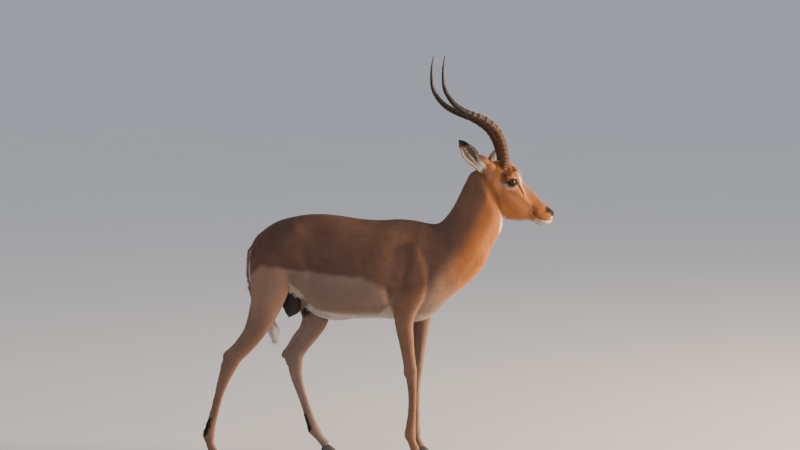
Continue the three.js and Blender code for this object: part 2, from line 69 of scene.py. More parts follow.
camera = bpy.data.objects.new("camera", bpy.data.cameras.new("camera"))
camera.data.sensor_width = 36.0
camera.data.lens = 36.0 * CAMERA_DISTANCE / VIEW_WIDTH
camera.data.clip_end = 200.0
aim = (CAMERA_AIM - ORIGIN) / 1000.0
camera.location = aim + CAMERA_DISTANCE * np.array([0.0, -np.cos(CAMERA_DROP), np.sin(CAMERA_DROP)])
camera.rotation_euler = (np.pi / 2 - CAMERA_DROP, 0.0, 0.0)
bpy.context.scene.collection.objects.link(camera)
bpy.context.scene.camera = camera


# ---------------------------------------------------------------- forms of the flesh
# The body is worked out as lofts: stations along a line, each with the size of its section. The skin is
# drawn over all of them at once, a coat's depth inside the model's outline.
def between(rows, knots, at):
    """Rows' values at distances `at`: on each stretch a cubic that meets both ends, where its slope is the
    mean of the two neighbouring stretches' slopes, weighted by the other stretch's length."""
    rows, at = np.asarray(rows, float), np.clip(at, 0, knots[-1])
    step = np.diff(knots)[:, None]
    rise = np.diff(rows, axis=0) / step
    inner = (step[1:] * rise[:-1] + step[:-1] * rise[1:]) / (step[1:] + step[:-1])
    slope = np.vstack([rise[:1], inner, rise[-1:]])
    i = np.clip(np.searchsorted(knots, at, side="right") - 1, 0, len(step) - 1)
    h = step[i]
    u = ((at - knots[i])[:, None]) / h
    value = rows[i] * (1 + 2 * u) * (1 - u) ** 2 + rows[i + 1] * u * u * (3 - 2 * u)
    return value + slope[i] * h * u * (1 - u) ** 2 + slope[i + 1] * h * u * u * (u - 1)


def spaced(knots, per_gap):
    """Distances that split each stretch between knots into `per_gap` equal parts."""
    part = np.arange(per_gap) / per_gap
    inner = (knots[:-1, None] + part * np.diff(knots)[:, None]).ravel()
    return np.append(inner, knots[-1])


def unit(v):
    """Each vector divided by its own length."""
    return v / np.maximum(np.linalg.norm(v, axis=-1, keepdims=True), 1e-9)


def across_form(rows, per_gap=6):
    """Sections drawn across the side view. Row: upper x, upper z, lower x, lower z, half width, egg, square.
    Gives each section's middle, its up and side directions, half sizes, egg and square."""
    rows = np.array([list(r) + [0, 2][len(r) - 5 :] for r in rows], float)
    middle = (rows[:, :2] + rows[:, 2:4]) / 2
    knots = np.append(0, np.cumsum(np.maximum(np.hypot(*np.diff(middle, axis=0).T), 1)))
    ux, uz, lx, lz, half, egg, square = between(rows, knots, spaced(knots, per_gap)).T
    zero = np.zeros_like(ux)
    up = np.stack([(ux - lx) / 2, zero, (uz - lz) / 2], 1)
    centre = np.stack([(ux + lx) / 2, zero, (uz + lz) / 2], 1)
    side = np.tile([0.0, 1.0, 0.0], (len(ux), 1))
    deep = np.linalg.norm(up, axis=1)
    return dict(centre=centre, up=unit(up), side=side, deep=deep, wide=half, egg=egg, square=square)


def along_form(rows, front=(1, 0, 0), per_gap=6):
    """Sections square to a line in space. Row: x, y, z, half depth, half width, square. The depth lies as
    near to `front` as the section lets it."""
    rows = np.array([list(r) + [2] * (6 - len(r)) for r in rows], float)
    knots = np.append(0, np.cumsum(np.linalg.norm(np.diff(rows[:, :3], axis=0), axis=1)))
    at = spaced(knots, per_gap)
    x, y, z, deep, wide, square = between(rows, knots, at).T
    reach = 0.01 * knots[-1]
    way = unit(between(rows, knots, at + reach)[:, :3] - between(rows, knots, at - reach)[:, :3])
    up = unit(np.array(front, float) - (way @ np.array(front, float))[:, None] * way)
    side = np.cross(way, up)
    centre = np.stack([x, y, z], 1)
    return dict(centre=centre, up=up, side=side, deep=deep, wide=wide, egg=0 * x, square=square)


def wrapped(form, sides, inset=0.0, caps=(8, 8)):
    """Rings of points over a form: each a superellipse, |cos|^(2/n) by |sin|^(2/n), `inset` within the form,
    and a half-round cap of three more rings at each end."""
    angle = 2 * np.pi * np.arange(sides) / sides
    power = 2 / form["square"][:, None]
    high = np.sign(np.sin(angle)) * np.abs(np.sin(angle)) ** power
    wide = np.sign(np.cos(angle)) * np.abs(np.cos(angle)) ** power * (1 + form["egg"][:, None] * high)
    high = high * (form["deep"] - inset)[:, None]
    wide = wide * (form["wide"] - inset)[:, None]
    rings = (
        form["centre"][:, None]
        + high[..., None] * form["up"][:, None]
        + wide[..., None] * form["side"][:, None]
    )
    rise = np.sin(np.radians([25, 50, 75]))[:, None, None]
    ends = []
    for end, inner, cap in ((0, 1, caps[0]), (-1, -2, caps[1])):
        middle = form["centre"][end]
        way = unit(middle - form["centre"][inner])
        ends.append(middle + (rings[end] - middle) * np.sqrt(1 - rise**2) + way * cap * rise)
    return np.concatenate([ends[0][::-1], rings, ends[1]])


def grid_faces(rings, around):
    """Quads of a tube of `rings` x `around` points, counted so that they face outwards when each ring runs
    anticlockwise about the way on."""
    r, k = np.meshgrid(np.arange(rings - 1), np.arange(around), indexing="ij")
    a, b = r * around + k, r * around + (k + 1) % around
    return np.stack([a, b, b + around, a + around], -1).reshape(-1, 4)


def closed_tube(rings):
    """Points and faces of a tube whose two ends are fans to their middles."""
    count, around = rings.shape[:2]
    points = np.vstack([rings.reshape(-1, 3), rings[0].mean(0), rings[-1].mean(0)])
    k = np.arange(around)
    first, last = count * around, count * around + 1
    start = np.stack([np.full(around, first), (k + 1) % around, k], 1)
    base = (count - 1) * around
    end = np.stack([np.full(around, last), base + k, base + (k + 1) % around], 1)
    faces = [list(f) for f in grid_faces(count, around)] + [list(f) for f in np.vstack([start, end])]
    return points, faces


# Trunk and neck, from the tail head to the throat: upper x, z, lower x, z, half width, egg, square.
TORSO = [
    (-464, 772, -458, 650, 36),
    (-446, 803, -445, 630, 66),
    (-416, 832, -409, 618, 88, 0.05, 2.1),
    (-358, 867, -343, 608, 101, 0.08, 2.2),
    (-285, 885, -285, 590, 106, 0.02, 2.2),
    (-212, 891, -219, 540, 112, -0.04, 2.15),
    (-139, 885, -146, 513, 120, -0.08, 2.1),
    (-66, 874, -69, 508, 124, -0.1, 2.1),
    (7, 869, 7, 509, 121, -0.1, 2.1),
    (80, 872, 80, 504, 108, -0.08, 2.05),
    (135, 867, 146, 496, 95, -0.06, 2),
    (179, 858, 202, 522, 86, -0.05, 2),
    (212, 856, 256, 579, 79, -0.06, 2),
    (230, 863, 307, 620, 73, -0.08, 2),
    (248, 881, 358, 666, 68, -0.08, 2),
    (263, 900, 391, 710, 63, -0.06, 2),
    (281, 929, 412, 761, 58, -0.03, 2),
    (299, 965, 438, 805, 54),
    (321, 1009, 453, 841, 51),
    (347, 1046, 456, 885, 50),
    (384, 1062, 452, 915, 46),
]
# Head, from its back to the nose, as above.
SKULL = [
    (387, 1064, 387, 980, 38, 0, 2),
    (416, 1080, 395, 931, 47, 0.05, 2),
    (453, 1086, 418, 892, 50, 0.12, 2.1),
    (485, 1078, 450, 873, 50, 0.18, 2.2),
    (507, 1056, 478, 867, 48, 0.22, 2.2),
    (521, 1030, 504, 862, 44, 0.22, 2.2),
    (535, 1005, 524, 862, 39, 0.18, 2.2),
    (552, 985, 541, 864, 34.5, 0.1, 2.2),
    (575, 964, 558, 862, 30.5, 0.02, 2.2),
    (597, 941, 577, 853, 28, -0.04, 2.2),
    (614, 925, 595, 846, 27, -0.06, 2.2),
    (629, 913, 615, 848, 25, -0.04, 2.2),
    (639, 901, 631, 856, 19, 0, 2.1),
]
# Sheath, tail and scrotum: x, y, z, half depth, half width.
SHEATH = [
    (-90, 0, 517, 10, 16),
    (-160, 0, 515, 14, 15),
    (-215, 0, 530, 15, 14),
    (-250, 0, 548, 15, 12),
    (-262, 0, 536, 9, 8),
]
TAIL = [
    (-455, 0, 768, 9, 15),
    (-468, 0, 735, 10, 16),
    (-472, 0, 700, 10, 15),
    (-471, 0, 655, 9, 14),
    (-462, 0, 608, 10, 14),
    (-441, 0, 560, 13, 15),
    (-413, 0, 515, 17, 16),
    (-387, 0, 473, 16, 15),
    (-377, 0, 430, 4, 4),
]
SCROTUM = [
    (-318, 0, 640, 20, 16),
    (-316, 0, 600, 27, 24),
    (-315, 0, 568, 34, 33),
    (-317, 0, 543, 33, 33),
    (-322, 0, 527, 20, 22),
    (-325, 0, 516, 7, 9),
]
# Legs: where each joint lies (x, y outwards, z), and the half depth and half width that the joint has on
# the left and right leg alike.
FORE_SIZES = [
    (50, 12), (70, 28), (64, 34), (43, 30), (36, 27), (28, 21.5), (24, 19.5), (23, 20), (18, 16.5),
    (15.5, 13), (16, 14), (18.5, 17), (21.5, 20), (17, 18), (19, 22),
]  # fmt: skip
HIND_SIZES = [
    (58, 26), (84, 42), (80, 45), (74, 42), (60, 36), (52, 31), (39, 25), (34, 20), (32, 20), (28, 19),
    (23, 15.5), (17.5, 13), (16.5, 13.5), (18.5, 17), (21.5, 19.5), (17, 17.5), (18.5, 21.5),
]  # fmt: skip
FORE_RIGHT = [
    (90, 74, 775), (116, 76, 690), (112, 72, 610), (98, 68, 545), (95, 66, 505), (103, 63, 430),
    (112, 61, 365), (119, 60, 318), (123, 60, 272), (125, 60, 215), (123, 60, 160), (119, 60, 115),
    (117, 60, 88), (125, 60, 56), (135, 60, 32),
]  # fmt: skip
FORE_LEFT = [
    (102, 74, 775), (138, 76, 690), (152, 72, 610), (158, 68, 545), (159, 66, 500), (153, 63, 430),
    (146, 61, 360), (141, 60, 314), (139, 60, 268), (138, 60, 212), (137, 60, 158), (135, 60, 113),
    (136, 60, 86), (144, 60, 54), (154, 60, 32),
]  # fmt: skip
HIND_RIGHT = [
    (-370, 52, 805), (-382, 58, 740), (-388, 60, 690), (-393, 62, 636), (-406, 66, 572), (-421, 68, 530),
    (-455, 68, 458), (-492, 66, 410), (-527, 65, 372), (-546, 64, 332), (-561, 64, 294), (-579, 64, 238),
    (-597, 64, 170), (-611, 64, 115), (-617, 64, 86), (-613, 64, 55), (-604, 64, 32),
]  # fmt: skip
HIND_LEFT = [
    (-368, 52, 805), (-348, 58, 740), (-314, 60, 690), (-272, 64, 632), (-238, 68, 560), (-230, 70, 510),
    (-258, 69, 444), (-284, 67, 405), (-304, 66, 368), (-305, 65, 330), (-301, 64, 292), (-284, 64, 232),
    (-263, 64, 168), (-245, 64, 116), (-235, 64, 90), (-214, 64, 60), (-193, 64, 36),
]  # fmt: skip
LEGS = {
    "foreleg_right": (FORE_RIGHT, FORE_SIZES, -1),
    "foreleg_left": (FORE_LEFT, FORE_SIZES, 1),
    "hindleg_right": (HIND_RIGHT, HIND_SIZES, -1),
    "hindleg_left": (HIND_LEFT, HIND_SIZES, 1),
}
FORMS = {"torso": across_form(TORSO), "head": across_form(SKULL)}
for leg_name, (line, sizes, sign) in LEGS.items():
    FORMS[leg_name] = along_form([(x, sign * y, z, *size) for (x, y, z), size in zip(line, sizes)])
FORMS["tail"] = along_form(TAIL)
FORMS["scrotum"] = along_form(SCROTUM)

# Lumps of muscle and bone on both sides: middle (x, y, z), half sizes, lean in degrees in the side view.
HEAD_LUMPS = [
    ((478, 38.5, 1012), (32, 17.5, 27), -40),  # rim of the eye socket
    ((503, 25, 1041), (30, 15, 14), -52),  # brow
    ((436, 31, 1030), (36, 19, 36), 0),  # temple
    ((512, 32, 968), (40, 13, 17), -42),  # cheekbone
    ((617, 13.5, 893), (18, 12.5, 17), -40),  # wing of the nostril
    ((600, 13, 866), (30, 14, 13), -20),  # lips
    ((482, 42.5, 1006), (20.6, 20.6, 20.6), 0),  # eyelids over the ball
    ((382, 27, 1080), (36, 19, 21), -36),  # muscle at the foot of the ear
    ((408, 25, 1060), (40, 22, 22), -36),
]
LIMB_LUMPS = [
    ("foreleg_right", (116, 0, 318), (24, 20.5, 26), 0),  # knee
    ("foreleg_left", (139, 0, 314), (24, 20.5, 26), 0),
    # For each hind leg the heel bone, the tendon above it and the bone below it.
    ("hindleg_right", (-549, 0, 387), (26, 10, 10.5), 47),
    ("hindleg_right", (-520, 0, 410), (46, 9.5, 9.5), 46),
    ("hindleg_right", (-562, 0, 341), (30, 11, 11), 80),
    ("hindleg_left", (-338, 0, 379), (26, 11, 11), 54),
    ("hindleg_left", (-311, 0, 422), (62, 10, 10), 58),
    ("hindleg_left", (-331, 0, 344), (28, 11, 10), -68),
]


def globe_grid(gap, rings, around):
    """Two grids: the angle from one pole, `gap` short of both poles, and the angle round the line through
    them."""
    polar, angle = np.linspace(gap, np.pi - gap, rings), 2 * np.pi * np.arange(around) / around
    return np.meshgrid(polar, angle, indexing="ij")


def ball(at, half, lean, rings=20, around=28):
    """A ball stretched to three half sizes and leant in the side view, as a closed tube of rings."""
    polar, angle = globe_grid(0.05, rings, around)
    x, y, z = np.sin(polar) * np.cos(angle), np.sin(polar) * np.sin(angle), -np.cos(polar)
    x, y, z = x * half[0], y * half[1], z * half[2]
    c, s = np.cos(np.radians(lean)), np.sin(np.radians(lean))
    return closed_tube(np.stack([x * c - z * s + at[0], y + at[1], x * s + z * c + at[2]], -1))


def mirrored(solid):
    """A closed solid's other side, with its faces turned over to face outwards."""
    points, faces = solid
    return points * (1, -1, 1), [f[::-1] for f in faces]


BODY_COAT = 3.0  # how far the skin lies inside the outline
LEG_COAT = 1.6
FACE_COAT = 1.6

solids = [
    closed_tube(wrapped(FORMS["torso"], 96, BODY_COAT, caps=(14, 10))),
    closed_tube(wrapped(FORMS["head"], 72, FACE_COAT, caps=(22, 9))),
    closed_tube(wrapped(along_form(SHEATH, front=(0, 0, 1)), 24, 2.0, caps=(3, 7))),
    closed_tube(wrapped(FORMS["tail"], 24, 5.0, caps=(6, 4))),
    closed_tube(wrapped(FORMS["scrotum"], 32, 1.0, caps=(4, 5))),
]
for leg_name, (line, sizes, sign) in LEGS.items():
    form = dict(FORMS[leg_name])
    # The coat is as deep as the body's above the knee or hock and thins out to the foot.
    depth = np.interp(form["centre"][:, 2], [80, 400, 600], [LEG_COAT, 2.2, BODY_COAT])
    form["deep"], form["wide"] = form["deep"] - depth, form["wide"] - depth
    solids.append(closed_tube(wrapped(form, 48, 0.0, caps=(10, 4))))
for at, half, lean in HEAD_LUMPS:
    lump = ball(at, np.array(half) - FACE_COAT, lean)
    solids += [lump, mirrored(lump)]
for leg_name, at, half, lean in LIMB_LUMPS:
    middle_y = LEGS[leg_name][2] * np.interp(at[2], [314, 380], [60, 65.5])
    solids.append(ball((at[0], middle_y, at[2]), np.array(half) - LEG_COAT, lean))

# ---------------------------------------------------------------- the skin's mesh
# All the forms are joined by remeshing them as one. Space is drawn out about the head first, so that the
# head gets cells a third of the size of the body's.
HEAD_MIDDLE = np.array([490.0, 0.0, 990.0])
FINE_REACH = 190.0
FINE = 3.0
CELL = 7.1


def drawn_out(p, back=False):
    """Distance r from the head's middle becomes FINE * r within FINE_REACH and r + (FINE - 1) * FINE_REACH
    beyond it, or the other way round with `back`."""
    away = p - HEAD_MIDDLE
    r = np.maximum(np.linalg.norm(away, axis=1, keepdims=True), 1e-6)
    extra = (FINE - 1) * FINE_REACH
    if back:
        new = np.where(r < FINE * FINE_REACH, r / FINE, r - extra)
    else:
        new = np.where(r < FINE_REACH, r * FINE, r + extra)
    return HEAD_MIDDLE + away * new / r


def mesh_from(name, points, faces):
    """A new object in the scene from points and the faces between them."""
    mesh = bpy.data.meshes.new(name)
    mesh.from_pydata(np.asarray(points).tolist(), [], faces if isinstance(faces, list) else faces.tolist())
    mesh.update()
    made = bpy.data.objects.new(name, mesh)
    bpy.context.scene.collection.objects.link(made)
    return made


def read_mesh(mesh):
    """Points and the corner counts and corner points of the faces, as arrays."""
    points = np.empty(len(mesh.vertices) * 3)
    mesh.vertices.foreach_get("co", points)
    corners = np.empty(len(mesh.loops), int)
    mesh.loops.foreach_get("vertex_index", corners)
    return points.reshape(-1, 3), corners


def finished_mesh(made):
    """The object's mesh with its modifiers applied."""
    ready = bpy.data.meshes.new_from_object(made.evaluated_get(bpy.context.evaluated_depsgraph_get()))
    made.modifiers.clear()
    old, made.data = made.data, ready
    bpy.data.meshes.remove(old)
    return ready


all_points, all_faces = [], []
for points, faces in solids:
    offset = sum(len(p) for p in all_points)
    all_points.append(points)
    all_faces += [[i + offset for i in f] for f in faces]
skin = mesh_from("skin", drawn_out(np.vstack(all_points)), all_faces)
remesh = skin.modifiers.new("one skin", "REMESH")
remesh.mode = "VOXEL"
remesh.voxel_size = CELL
points, corners = read_mesh(finished_mesh(skin))
points = drawn_out(points, back=True)


# ---------------------------------------------------------------- ears
# Leaf-shaped cups of thin skin on short stalks, joined to the skin so that no edge shows. The right ear is
# turned back and opens to its side; the left one is pricked outwards and opens forwards.
EAR_LENGTH = 193.0
EAR_WALL = 3.0
EAR_ARC = np.pi * 0.46  # from the middle of the cup to its edge
EAR_ROWS = [  # share of the length, half width, depth of the cup
    (0, 12, 12), (0.1, 13, 14), (0.22, 15, 17), (0.36, 20, 19), (0.46, 27, 19), (0.57, 31, 18),
    (0.67, 28, 16), (0.8, 19, 12), (0.92, 12, 7), (1, 3, 2),
]  # fmt: skip
EARS = {
    "ear_right": dict(base=(399, -22, 1026), out=(-117, -74, 136), open=(0.1, -0.97, -0.25)),
    "ear_left": dict(base=(399, 22, 1026), out=(75, 178, 111), open=(0.8, -0.25, -0.3)),
}
for ear in EARS.values():
    ear["base"] = np.array(ear["base"], float)
    ear["out"] = unit(np.array(ear["out"], float))
    cup = np.array(ear["open"]) - (np.array(ear["open"]) @ ear["out"]) * ear["out"]
    ear["open"] = unit(cup)
    ear["across"] = np.cross(ear["out"], ear["open"])


def smooth(low, high, x):
    """A smooth step: 0 up to low, 1 from high on, and between them three times the square of the share of
    the way less twice its cube. With low above high it falls."""
    t = np.clip((x - low) / (high - low), 0, 1)
    return t * t * (3 - 2 * t)


def ear_surface(ear, share, bend, inner, inset=0.8):
    """A point on the ear. `share` runs from base to tip and `bend` from one edge (-1) to the other (1) round
    an arc, at the cup's depth outside and a wall's thickness less inside. At the stalk the inside is filled.
    """
    rows = np.array(EAR_ROWS)
    _, half, depth = between(rows, rows[:, 0], share).T
    half, depth = half - inset, depth - inset
    wall = np.minimum(EAR_WALL, half * 0.55)
    angle = bend * EAR_ARC
    curl = 1 + 0.1 * np.sin(share * 9) * np.abs(bend) ** 3
    x, y = np.sin(angle) * half * curl, -np.cos(angle) * depth
    x_in, y_in = np.sin(angle) * (half * curl - wall * 0.35), -np.cos(angle) * (depth - wall)
    closed = 1 - smooth(0.05, 0.35, share)
    x_in, y_in = x_in + (x - x_in) * closed, y_in + (0.7 * depth * np.cos(angle) - y_in) * closed
    x, y = np.where(inner, x_in, x), np.where(inner, y_in, y)
    on_line = ear["base"] + np.stack([share * EAR_LENGTH] * 3, -1) * ear["out"]
    return on_line + x[..., None] * ear["across"] + y[..., None] * ear["open"]


def ear_solid(ear, rings=60, arc=22):
    """The ear as a closed tube whose rings run along the outside from edge to edge and back along the
    inside."""
    share = np.repeat(np.linspace(0, 1, rings) ** 0.9, 2 * arc)
    bend = np.tile(np.concatenate([np.linspace(1, -1, arc), np.linspace(-1, 1, arc)]), rings)
    inner = np.tile(np.arange(2 * arc) >= arc, rings)
    return closed_tube(ear_surface(ear, share, bend, inner).reshape(rings, 2 * arc, 3))


def set_points(mesh, p):
    """Moves a mesh's vertices to the given points."""
    mesh.vertices.foreach_set("co", np.ascontiguousarray(p, dtype=np.float32).ravel())
    mesh.update()


def edges_of(mesh):
    """The two vertex numbers of each edge."""
    pairs = np.empty(len(mesh.edges) * 2, int)
    mesh.edges.foreach_get("vertices", pairs)
    return pairs.reshape(-1, 2)


def relaxed(p, pairs, weight, rounds, back=0.62):
    """Moves each point towards the mean of its neighbours and most of the way back out, `rounds` times, so
    that small bumps go while the size stays. With `back` 0 edges between forms soften as well. `weight` is 0
    to 1 for each point."""
    ends = np.concatenate([pairs, pairs[:, ::-1]])
    count = np.bincount(ends[:, 0], minlength=len(p))[:, None]
    for i in range(2 * rounds):
        mean = np.stack([np.bincount(ends[:, 0], p[ends[:, 1], c], len(p)) for c in range(p.shape[1])], 1)
        p = p + (mean / np.maximum(count, 1) - p) * weight[:, None] * (0.6, -back)[i % 2]
    return p


head_near = np.linalg.norm(points - HEAD_MIDDLE, axis=1) < FINE_REACH
on_leg = points[:, 2] < np.where(points[:, 0] > 0, 500, 560)
pairs = edges_of(skin.data)
points = relaxed(points, pairs, np.where(on_leg | head_near, 0.0, 1.0), 40)
points = relaxed(points, pairs, np.where(on_leg, 0.5, 1.0), 9)
points = relaxed(points, pairs, np.where(head_near, 1.0, 0.0), 14, back=0.3)
set_points(skin.data, points)
for ear in EARS.values():
    solid = mesh_from("ear", *ear_solid(ear))
    union = skin.modifiers.new("ear", "BOOLEAN")
    union.operation, union.solver, union.object = "UNION", "MANIFOLD", solid
    finished_mesh(skin)
    bpy.data.objects.remove(solid)
points, _ = read_mesh(skin.data)
pairs = edges_of(skin.data)
print("skin", len(points), "points", len(skin.data.polygons), "faces")


# ---------------------------------------------------------------- modelling of muscle, bone and face
# What the forms are too plain to give: ridges and hollows drawn along lines in the side view, on the sides
# that face outwards, and the nostrils, mouth and eye openings.
def path_distance(p, path):
    """Distance from each point to a line of straight stretches, in as many dimensions as the line has."""
    path = np.asarray(path, float)
    best = np.full(len(p), np.inf)
    if len(path) == 1:
        return np.linalg.norm(p - path[0], axis=1)
    for a, b in zip(path[:-1], path[1:]):
        t = np.clip((p - a) @ (b - a) / ((b - a) @ (b - a)), 0, 1)
        best = np.minimum(best, np.linalg.norm(p - a - t[:, None] * (b - a), axis=1))
    return best


def swell(p, path, width, height):
    """Height of a rounded ridge, or a groove where it is negative: it falls off as a bell of `width`."""
    return height * np.exp(-((path_distance(p, path) / width) ** 2))


def normals_of(mesh):
    """The way that the mesh faces at each vertex."""
    n = np.empty(len(mesh.vertices) * 3, np.float32)
    mesh.vertex_normals.foreach_get("vector", n)
    return n.reshape(-1, 3).astype(float)


BODY_STROKES = [  # (points x, z), width, height, on both sides of the trunk and neck
    ([(168, 848), (140, 760), (112, 660)], 20, 2.0),  # ridge of the shoulder blade
    ([(92, 840), (72, 760), (46, 690)], 30, -2.6),  # hollow behind the shoulder
    ([(204, 650)], 34, 5.0),  # point of the shoulder
    ([(88, 660)], 46, 5.0),  # back of the upper arm
    ([(34, 620), (48, 560), (60, 530)], 14, -4.5),  # fold behind the elbow
    ([(-232, 812)], 54, -4.5),  # hollow of the flank
    ([(-300, 848)], 26, 4.5),  # point of the hip
    ([(-418, 812)], 24, 3.0),  # pin bone
    ([(-270, 760), (-246, 680), (-248, 610)], 18, -3.0),  # front of the thigh
    ([(-330, 700)], 64, 4.0),  # mass of the thigh
    ([(-424, 770), (-436, 660), (-446, 560)], 12, -2.6),  # groove behind the thigh
    ([(440, 868), (408, 800), (366, 730), (312, 655)], 18, -1.8),  # groove of the neck vein
    ([(424, 900), (372, 820), (310, 760), (258, 700)], 26, 2.4),  # muscle above it
]
THROAT_STROKES = [  # the same, across the join of neck and head
    ([(414, 1002), (430, 965), (446, 912)], 11, 3.0),  # between jaw and neck
    ([(390, 1004), (408, 955), (430, 902)], 16, -3.0),  # edge of the neck
]
RIBS = [([(x - 26, 790), (x, 700), (x + 8, 610)], 11, 0.25) for x in range(-180, 40, 36)]
LEG_STROKES = {  # on the outside and the inside of one leg
    "foreleg_right": [
        ([(70, 562)], 16, 5.0),  # elbow
        ([(92, 480), (106, 400), (112, 350)], 6, -1.8),  # between the arm's muscles
        ([(117, 285), (119, 215), (114, 130)], 4.5, -2.2),  # between bone and tendon
        ([(134, 325)], 9, 2.0),
        ([(101, 330)], 8, 2.5),  # bone behind the knee
        ([(106, 82)], 8, 2.5),
    ],
    "foreleg_left": [
        ([(124, 562)], 16, 5.0),
        ([(152, 480), (148, 400), (144, 350)], 6, -1.8),
        ([(133, 285), (132, 215), (129, 130)], 4.5, -2.2),
        ([(157, 321)], 9, 2.0),
        ([(122, 326)], 8, 2.5),
        ([(124, 80)], 8, 2.5),
    ],
    "hindleg_right": [
        ([(-452, 505), (-488, 442), (-520, 402)], 7, -4.2),  # before the heel tendon
        ([(-566, 300), (-586, 238), (-604, 165)], 4.5, -2.2),
        ([(-515, 356)], 10, 2.5),  # inner bump of the hock
        ([(-629, 80)], 8, 2.5),
    ],
    "hindleg_left": [
        ([(-268, 486), (-296, 436), (-320, 400)], 7, -4.2),
        ([(-308, 300), (-290, 232), (-270, 165)], 4.5, -2.2),
        ([(-292, 352)], 10, 2.5),
        ([(-248, 84)], 8, 2.5),
    ],
}
HEAD_STROKES = [
    ([(518, 986), (550, 946), (582, 916)], 12, -2.6),  # hollow of the face before the eye
    ([(506, 990), (518, 970), (526, 956)], 3.2, -1.8),  # tear groove
    ([(486, 976), (515, 956), (552, 924)], 9, 1.8),  # crest of the cheekbone
    ([(440, 900), (480, 880), (535, 868)], 12, 1.4),  # edge of the jaw
    ([(458, 936)], 40, 4.0),  # chewing muscle
    ([(558, 898)], 18, -1.6),  # before it
    ([(470, 1048)], 14, -3.0),  # hollow of the temple
    ([(500, 1046), (513, 1024)], 8, 2.2),  # brow
    ([(583, 895), (600, 882)], 12, 1.6),  # whisker pad
    ([(588, 878), (612, 868), (632, 868)], 3.0, 1.2),  # upper lip's edge
]
MOUTH = [(563, 892), (576, 881), (590, 872.5), (607, 865.5), (625, 864), (640, 866)]
NOSTRIL = [(637, 9, 893), (633, 14.5, 902), (625, 19, 906), (618, 21.5, 903)]


def leg_of(p):
    """For each point, the leg whose line is nearest and the distance to it, as far down as the body."""
    names = list(LEGS)
    lines = [np.array([(x, LEGS[n][2] * y, z) for x, y, z in LEGS[n][0]]) for n in names]
    distance = np.stack([path_distance(p, line) for line in lines], 1)
    return np.array(names)[distance.argmin(1)], distance.min(1)


p, n = points, normals_of(skin.data)
outward = smooth(0.15, 0.6, np.abs(n[:, 1]))
flat = p[:, [0, 2]]
lift = np.zeros(len(p))
head_share = smooth(-10, 40, (p[:, 0] - 418) * 0.86 + (p[:, 2] - 960) * 0.5)
trunk_share = (1 - head_share) * smooth(455, 520, p[:, 2])
for path, width, height in BODY_STROKES + RIBS:
    lift += swell(flat, path, width, height) * outward * trunk_share
for path, width, height in THROAT_STROKES:
    lift += swell(flat, path, width, height) * outward * smooth(300, 380, p[:, 0])
nearest_leg, _ = leg_of(p)
leg_share = 1 - smooth(560, 620, p[:, 2])
for leg_name, strokes in LEG_STROKES.items():
    own = (nearest_leg == leg_name) * leg_share * smooth(0.05, 0.5, np.abs(n[:, 1]))
    for path, width, height in strokes:
        lift += swell(flat, path, width, height) * own
    # The two toes part below the fetlock, in front and behind.
    line, _, sign = LEGS[leg_name]
    off_middle = np.abs(p[:, 1] - sign * line[-1][1])
    own = (nearest_leg == leg_name) * (1 - smooth(50, 92, p[:, 2])) * smooth(0.3, 0.8, np.abs(n[:, 0]))
    lift -= 5.0 * np.exp(-((off_middle / 4.5) ** 2)) * own
for path, width, height in HEAD_STROKES:
    lift += swell(flat, path, width, height) * outward * head_share
mouth = path_distance(flat, MOUTH)
lift -= 3.0 * np.exp(-((mouth / 2.6) ** 2)) * head_share * np.abs(n[:, [0, 1]]).max(1)
lift += 1.2 * np.exp(-(((mouth - 6) / 4) ** 2)) * head_share * outward
sided = p * (1, 0, 1) + np.abs(p[:, 1:2]) * (0, 1, 0)
nostril = path_distance(sided, NOSTRIL)
lift -= 9.0 * np.exp(-((nostril / 4.2) ** 2))
lift += 1.5 * np.exp(-(((nostril - 7) / 3) ** 2)) * smooth(585, 610, p[:, 0])
philtrum = path_distance(p, [(650, 0, 892), (644, 0, 875), (636, 0, 866)])
lift -= 2.2 * np.exp(-((philtrum / 2.6) ** 2))
p = p + n * lift[:, None]

# Eyes: the ball's middle, its size, the way it looks, and the opening's half sizes. The skin is pushed in
# behind the ball within an almond whose front corner lies low.
EYE_MIDDLE = np.array([482.0, 42.5, 1006.0])
EYE_RADIUS = 17.8
EYE_LOOK = unit(np.array([0.30, 0.95, 0.05]))
EYE_HALF = (17.0, 11.0)
EYE_LEAN = np.radians(-13)
ahead = unit(np.array([1.0, 0.0, 0.0]) - EYE_LOOK[0] * EYE_LOOK)
above = np.cross(ahead, EYE_LOOK) * -1
EYE_LONG = ahead * np.cos(EYE_LEAN) + above * np.sin(EYE_LEAN)
EYE_HIGH = -ahead * np.sin(EYE_LEAN) + above * np.cos(EYE_LEAN)


def almond(along, high):
    """1 on the edge of the eye's opening, less within: an ellipse whose height shrinks to its corners."""
    x = along / EYE_HALF[0]
    return np.sqrt(x**2 + (high / (EYE_HALF[1] * (1 - 0.25 * np.abs(x) ** 2 + 0.1 * (high > 0)))) ** 2)


away = sided - EYE_MIDDLE
way = unit(away)
inside = almond(way @ EYE_LONG * EYE_RADIUS, way @ EYE_HIGH * EYE_RADIUS)
opening = (inside < 1) & (way @ EYE_LOOK > 0.3) & (np.linalg.norm(away, axis=1) < 30)
pushed = EYE_MIDDLE + way * 12.0
pushed = pushed * np.stack([np.ones(len(p)), np.where(p[:, 1] < 0, -1, 1), np.ones(len(p))], 1)
p[opening] = pushed[opening]
# The lids' edges are smoothed, and a fold runs above the upper lid and below the lower one.
near_edge = (way @ EYE_LOOK > 0.3) & (np.linalg.norm(away, axis=1) < 34)
p = relaxed(p, pairs, near_edge * np.exp(-(((inside - 1.05) / 0.22) ** 2)), 6)
fold = np.exp(-(((inside - 1.62) / 0.13) ** 2)) * near_edge * np.where(way @ EYE_HIGH > 0, 1.6, 0.9)
p = p - n * fold[:, None]
points = p

